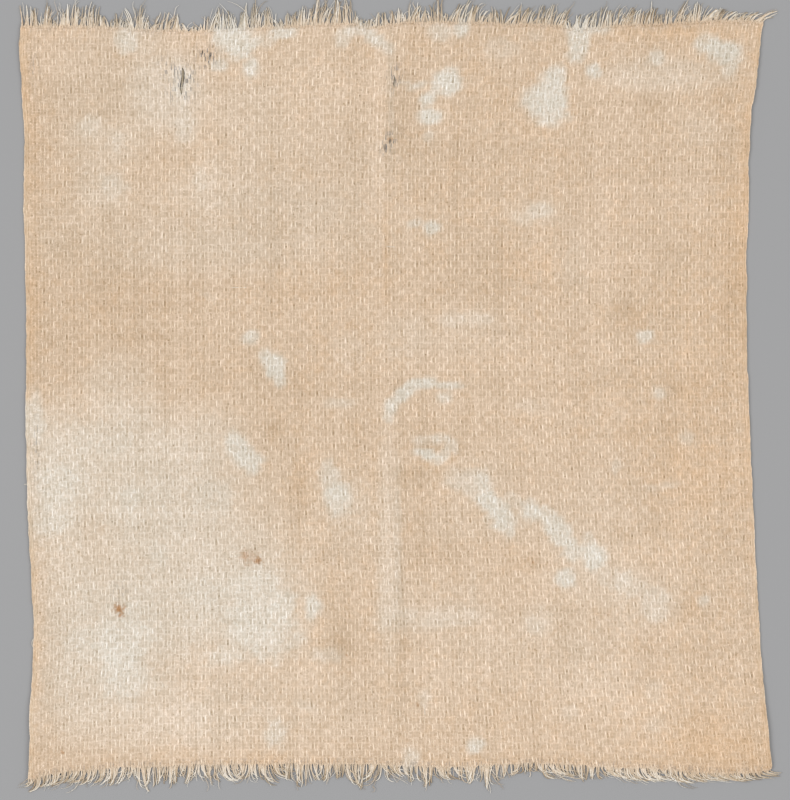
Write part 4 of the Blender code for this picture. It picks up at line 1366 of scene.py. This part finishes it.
# %% Courses of the threads
def thread_courses(random, tufts, way, ends, slack, lone):
    """Plan points of loose yarns that start at the given block counts. s runs from 0 at the edge to 1.
    Outwards: reach times s, turned towards the sine of a quarter turn for drooping tips. Sideways: lean times
    s to the sweep, plus pulls to clump and tuft, plus curl and waves. lone is 1 for stray hairs."""
    up_edge = 1.0 if way["outward"] > 0 else 0.0
    root_x, root_y = in_plan(across_at(ends), up_edge).T
    number = len(root_x)
    mine, off, half = tufts_of(root_x, tufts)
    _, tuft_reach, tuft_lean = (column[mine] for column in np.array(tufts, float).T)
    clump = np.cumsum(random.random(number) < way["clumps"])
    clump_middle = (np.bincount(clump, root_x) / np.maximum(np.bincount(clump), 1))[clump]
    clump_reach = random.normal(1, CLUMP_REACH, clump[-1] + 1)[clump]
    clump_lean = random.normal(0, CLUMP_LEAN, clump[-1] + 1)[clump]
    reach = tuft_reach * PIXEL * (TUFT_MIDDLE - TUFT_SIDES * off**2) * clump_reach
    broken = random.random(number) < SHORT_SHARE
    reach = reach * np.where(broken, random.uniform(*SHORT, number), random.normal(1, OWN_REACH, number))
    reach = np.maximum(reach * (1 + lone * random.uniform(*LONE_REACH, number)), LEAST_REACH)
    lean = tuft_lean * PIXEL * random.normal(1, TUFT_LEAN, number) + clump_lean
    lean = lean + random.normal(0, OWN_LEAN + LONE_LEAN * lone, number)
    tuft_pull = -off * half * random.uniform(0.0, way["gather"], len(tufts))[mine] * (1 - lone)
    clump_pull = (clump_middle - root_x) * CLUMP_PULL * (1 - lone)
    curl, wave = random.normal(0, slack, (2, number))
    phase = random.uniform(0, 2 * np.pi, number)
    inset = ROOT_INSET * random.uniform(LEAST_INSET, 1, number)[:, None]

    lean, tuft_pull, clump_pull, curl, wave, phase = (
        values[:, None] for values in (lean, tuft_pull, clump_pull, curl, wave, phase)
    )
    s = AFTER_EDGE
    sideways = lean * s ** way["sweep"] + tuft_pull * s**TUFT_POWER + clump_pull * s**CLUMP_POWER
    sideways += curl * np.sin(np.pi * s) * s + WAVE_SHARE * wave * np.sin(phase + WAVES * s) * s
    outwards = (np.sin(np.pi / 2 * s) * way["drop"] + s * (1 - way["drop"])) * reach[:, None]
    x = root_x[:, None] + np.concatenate([np.zeros((number, 3)), sideways], axis=1)
    y = root_y[:, None] + way["outward"] * np.concatenate([inset * BEFORE_EDGE, outwards], axis=1)
    return x, y


# %% [markdown]
# ## Laying the threads down
# A thread comes off the cloth's face a little inside its edge, and falls to the table over the first third of
# its way, some with a hump of their own. Bleach has taken the colour of nearly half of the loose ends. Beyond
# the root most threads are dimmed, the others more, as painted shade among the threads, which also makes
# those browner. Finer hairs stray between them.

# %% Thickness, fall and colour of the threads
THREAD, HAIR = 0.56, 0.24  # thickness of a single loose end, and of a stray fibre
THREAD_DIFFER = 0.13  # how much the thickness differs, as a share
HAIRS, HAIR_SLACK = 420, 1.5
HAIR_CLEAR = 0.2  # no stray fibre is rooted nearer to a selvedge than this, in blocks
TAPER = ((0, 0.15, 0.5, 1), (0.88, 1, 0.86, 0.45))  # shares of the way, and of the thickness there
FALL = 0.33  # share of the way over which a thread comes down
ON_TABLE = THREAD / 2 + 0.07  # height of its middle then
HUMP, SUNK = (0, 0.22), (-0.06, 0.16)  # how high each one's hump is, and how deep it lies in the cloth
ROOT_DEPTH, HAIR_LIFT = 0.4, 0.1  # a root's very end is hidden in the sheet, and hairs lie on top
BLEACHED_SHARE = 0.45  # of the threads, which are bleached nearly white
PALER = (0.1, 0.75)  # how far the others have lost their dye
# The threads' loss of brightness is painted shade among them
CLEAN_DIM, UNBLEACHED_SHADE_DIM = (-0.10, 0.16), (0.15, 0.66)  # loss of brightness of the bleached ones and the others
CLEAN_PALE, TIP_PALE, TIP_DYE_LOSS = 0.95, 0.10, 0.6  # paleness of the bleached ones, and changes at the tips
ROOT_LIGHT = 0.97


# %% Add the fringes
def add_fringe(name, tufts, strays, way, seed):
    """One fringe: every warp end as a thread, then finer hairs, then the listed strays."""
    random = np.random.default_rng(seed)
    up_edge = 1.0 if way["outward"] > 0 else 0.0
    ends = (np.arange(int(BLOCKS_WIDE * ENDS)) + 0.5) / ENDS
    hair_ends = np.sort(random.uniform(HAIR_CLEAR, BLOCKS_WIDE - HAIR_CLEAR, HAIRS))
    courses = [
        thread_courses(random, tufts, way, ends, way["slack"], 0.0),
        thread_courses(random, tufts, way, hair_ends, HAIR_SLACK, 1.0),
        stray_courses(strays),
    ]
    x, y = (np.concatenate(axis) for axis in zip(*courses))
    number = len(x)
    hairs = np.arange(number) >= len(ends)

    def each(low_high):
        """One random number for each thread."""
        return random.uniform(*low_high, number)[:, None]

    s = np.concatenate([BEFORE_EDGE * 0, AFTER_EDGE])
    left = in_plan(0.0, up_edge)[0]
    edge = in_plan(np.clip((x[:, 3] - left) / WIDTH, 0, 1), up_edge)[:, 1]
    across = np.clip((x - left) / WIDTH, 0.001, 0.999)
    inside = np.clip((edge[:, None] - y) * way["outward"], 0, 3) / LENGTH
    up = np.where(up_edge > 0, 1 - inside, inside)
    on_cloth = face(across, up, across * BLOCKS_WIDE, up * BLOCKS_HIGH)
    thick = np.where(hairs, HAIR, THREAD) * random.normal(1, THREAD_DIFFER, number).clip(*THICK_LIMITS)
    thick = thick[:, None] * np.interp(s, *TAPER)
    fall = smooth_step(s / FALL)
    hump = each(HUMP) * np.sin(np.pi * s) * s**0.5
    z = (on_cloth - each(SUNK)) * (1 - fall) + ON_TABLE * fall + hump + HAIR_LIFT * hairs[:, None]
    z[:, 0] -= ROOT_DEPTH

    tint = np.repeat(tint_at(across[:, 3], np.full(number, up_edge))[:, None], THREAD_STATIONS, axis=1)
    bleached = (random.random(number) < BLEACHED_SHARE)[:, None]
    paler = np.where(bleached, CLEAN_PALE, each(PALER)) + TIP_PALE * s
    tint[..., 0] = np.clip(tint[..., 0] + paler * s**0.5 * (1 - tint[..., 0]), 0, 1)
    tint[..., 1] *= 1 - TIP_DYE_LOSS * s
    # Dimming towards the tips: painted shade among the threads
    tint[..., 2] *= ROOT_LIGHT - np.where(bleached, each(CLEAN_DIM), each(UNBLEACHED_SHADE_DIM)) * s**0.35
    cells = math.ceil(math.sqrt(number))
    return tubes(name, np.dstack([x, y, z]), thick, thick, tint, LOOSE_YARN, ROUND, (cells, cells))


fringe_top = add_fringe("fringe_threads_top", TOP_TUFTS, TOP_STRAYS, TOP_WAY, 11)
fringe_bottom = add_fringe("fringe_threads_bottom", BOTTOM_TUFTS, BOTTOM_STRAYS, BOTTOM_WAY, 12)

# %% [markdown]
# ## The selvedges
# At each side the weft turns round the outermost ends, which were threaded closer. They show as a band of
# fine upright cords, the outermost one nubbly where the picks turn over it.

# %% Selvedge cords
CORDS, CORD_PITCH, CORD_THICK = 3, 0.66, 0.62
FIRST_INSET = 0.35  # of the outermost cord's middle, in pitches
THINNER = 0.05  # share of the thickness that each next cord inwards loses
CORD_SUNK = 0.10  # an inner cord's middle lies this far below the face
OUTER_LIFT = 0.02  # the outermost one lies this far above the underside
WAVER, WAVER_SIZE = 0.10, 6.0
BLOTCH_SIZE = (7.0, 9.0)  # of each cord's own shade
BETWEEN_CORDS = 40.0  # how far apart the cords read their noises, so that they are unrelated
OUTER_TURNS, INNER_TURNS = 0.16, 0.07  # how much the cords swell at each turn of the weft
CORD_SHADE, OUTER_LIGHT, CORD_SHADES = 0.84, 0.05, 0.12


def selvedge(name, side, seed):
    """Upright cords side by side: each keeps its distance from the edge, wavers, and swells at each turn."""
    stations = 2 * int(BLOCKS_HIGH * ENDS / 2) + 1
    up = np.linspace(0.001, 0.999, stations)
    cord = np.arange(CORDS)[:, None]
    outer = cord == 0

    def noise_of_cords(size, first_seed):
        """Each cord's own noise along the selvedge."""
        own = [blotches(up * LENGTH, BETWEEN_CORDS * n, size, first_seed + n) for n in range(CORDS)]
        return np.stack(own)

    across = ((cord + FIRST_INSET) * CORD_PITCH + noise_of_cords(WAVER_SIZE, seed) * WAVER) / WIDTH
    across = across if side < 0 else 1 - across
    own = noise_of_cords(BLOTCH_SIZE, seed + 50)
    up = np.broadcast_to(up, across.shape)
    over_blocks = np.interp(across, SHARE_STEPS, BLOCKS_ACROSS)
    z = face(across, up, over_blocks, np.interp(up, SHARE_STEPS, BLOCKS_UP)) - CORD_SUNK
    z = np.where(outer, underside(across, up) + OUTER_LIFT + CORD_THICK / 2, z)
    turns = 1 + np.where(outer, OUTER_TURNS, INNER_TURNS) * np.cos(np.pi * np.arange(stations))
    thick = CORD_THICK * turns * (1 - THINNER * cord)
    tint = tint_at(across, up)
    tint[..., 2] *= CORD_SHADE + OUTER_LIGHT * outer + CORD_SHADES * own
    return tubes(name, np.dstack([in_plan(across, up), z]), thick, thick, tint, LOOSE_YARN, ROUND, (CORDS, 1))


selvedges = [selvedge("selvedge_left", -1, 61), selvedge("selvedge_right", 1, 71)]

# %% [markdown]
# ## Loose yarns on the cloth
# A few broken ends lie in the long slit and across it, and here and there a pick has pulled out into a small
# loop or a nub at a selvedge. Each is one drawn curve, laid on the cloth's face.

# %% Draw the loose yarns
# Each yarn has the four control points of its curve in the picture, its thickness and its brightness
LOOSE = (
    # The first yarn lies on the table in the long slit; its low brightness paints the slit's shade on it
    (182.9, 69, 183.5, 78, 182, 86, 180.5, 95, 0.9, 0.36),
    (182.4, 81, 182.8, 86, 181.2, 90, 180.2, 97, 0.28, 0.7),
    (179, 88.5, 182, 87.5, 184, 88.4, 186.4, 87.4, 0.25, 0.8),
    (184.6, 74, 185.8, 80, 184.4, 86, 184.8, 93, 0.28, 0.8),
    (208.6, 54, 209.8, 57, 208.8, 60, 209.8, 63, 0.28, 0.8),
    (393.6, 77, 394.8, 81, 393.6, 84, 395, 88, 0.3, 0.6),
    (389.4, 135, 391, 139, 389.6, 143, 390.8, 147, 0.3, 0.6),
    (29, 483.6, 27.5, 484.4, 26, 483.8, 24.6, 484.6, 0.28, 0.88),
    (35, 638, 31, 640, 31.2, 647, 35.4, 648, 0.28, 0.88),
    (386, 246, 389, 247.6, 392, 246.4, 395, 247.2, 0.28, 0.9),
    (231, 288, 236, 286.6, 242, 288.4, 247, 287.2, 0.28, 0.9),
    (424, 706, 425.2, 709, 424.2, 712, 425.4, 715, 0.28, 0.9),
)
CLEARANCE = 0.02  # between a yarn and the table in a slit; on the face, the yarn's middle lies this far up
THICK_ONE = 0.4  # a yarn thicker than this lies in the slit, on the table
LEAST_PALE = 0.85


def add_loose_yarns():
    """Thin tubes on the face: the plan is the curve, and the height is the face's own plus a little."""
    drawn = np.array(LOOSE)
    x, y = stray_courses(drawn[:, :8])
    up = np.clip((y - in_plan(0.5, 0.0)[1]) / LENGTH, 0, 1)
    left_x, right_x = in_plan(0.0, up)[..., 0], in_plan(1.0, up)[..., 0]
    across = np.clip((x - left_x) / (right_x - left_x), 0, 1)
    thick = np.repeat(drawn[:, 8:9], THREAD_STATIONS, axis=1)
    on_face = face(across, up, across * BLOCKS_WIDE, up * BLOCKS_HIGH)
    z = np.where(thick > THICK_ONE, thick / 2, on_face) + CLEARANCE
    tint = tint_at(across, up)
    tint[..., 0] = np.maximum(tint[..., 0], LEAST_PALE)
    tint[..., 2] *= drawn[:, 9:10]
    return tubes("loose_yarns", np.dstack([x, y, z]), thick, thick, tint, LOOSE_YARN, ROUND, (5, 4))


loose_yarns = add_loose_yarns()

# %% [markdown]
# ## Table and light
# The picture was lit from both sides, a little more from the left, as on a copy stand. Two wide area lights
# do that, and an even grey world fills the shadows. The table is plain grey.

# %% Table and lights
TABLE_GREY = (0.297, 0.297, 0.301, 1)
TABLE_HALF = 4000  # millimetres from its middle to a side
TABLE_HEIGHT = -0.05  # just below the cloth, so that they never share a plane
LIGHT_HEIGHT, LIGHT_ASIDE, LIGHT_SIZE = 1.75, 1.9, 1.4  # in metres
LIGHT_NEAR = -0.1  # and a little towards the lower end of the picture
LIGHTS = {"light_left": (-1, 32.3), "light_right": (1, 23.0)}  # side and power


def add_table():
    """A big plain square just under the cloth."""
    material, _, shader = new_material("plain_table", roughness=0.95, sheen=0.0)
    shader.inputs["Base Color"].default_value = TABLE_GREY
    signs = np.array([(-1, -1), (1, -1), (1, 1), (-1, 1)])
    corners = np.column_stack([signs * TABLE_HALF, np.full(4, TABLE_HEIGHT)])
    table = add_piece("table_top", corners, [np.array([[0, 1, 2, 3]])], material)
    return table


def add_light(name, side, power):
    """A square area light to one side of the cloth, aimed at its middle."""
    data = bpy.data.lights.new(name, "AREA")
    data.energy = power
    data.size = LIGHT_SIZE
    light = bpy.data.objects.new(name, data)
    light.location = (side * LIGHT_ASIDE, LIGHT_NEAR, LIGHT_HEIGHT)
    light.rotation_euler = (0, side * math.atan2(LIGHT_ASIDE, LIGHT_HEIGHT), 0)
    bpy.context.scene.collection.objects.link(light)


table = add_table()
for name, (side, power) in LIGHTS.items():
    add_light(name, side, power)
print("lights:", ", ".join(LIGHTS))

# %% World
FILL = 0.72

world = bpy.data.worlds.new("even_fill")
world.use_nodes = True
background = world.node_tree.nodes["Background"]
background.inputs["Color"].default_value = (1, 1, 1, 1)
background.inputs["Strength"].default_value = FILL
bpy.context.scene.world = world
bpy.context.scene.view_settings.view_transform = "Standard"
print("world strength", FILL)

# %% [markdown]
# ## Riding on the body
# Every piece rides on the one body. The sheet stands for the cloth's solid and the threads for the fringes',
# so those three solids are hidden. Last, the plan of the whole cloth is worked out on a grid.

# %% Ride and replace
pieces = [linen_sheet, *floats, fringe_top, fringe_bottom, *selvedges, loose_yarns]
for piece in pieces:
    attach(piece, "root")
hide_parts("cloth")
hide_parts("fringe_top")
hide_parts("fringe_bottom")

outline = in_plan(*np.meshgrid(np.linspace(0, 1, 101), np.linspace(0, 1, 101)))
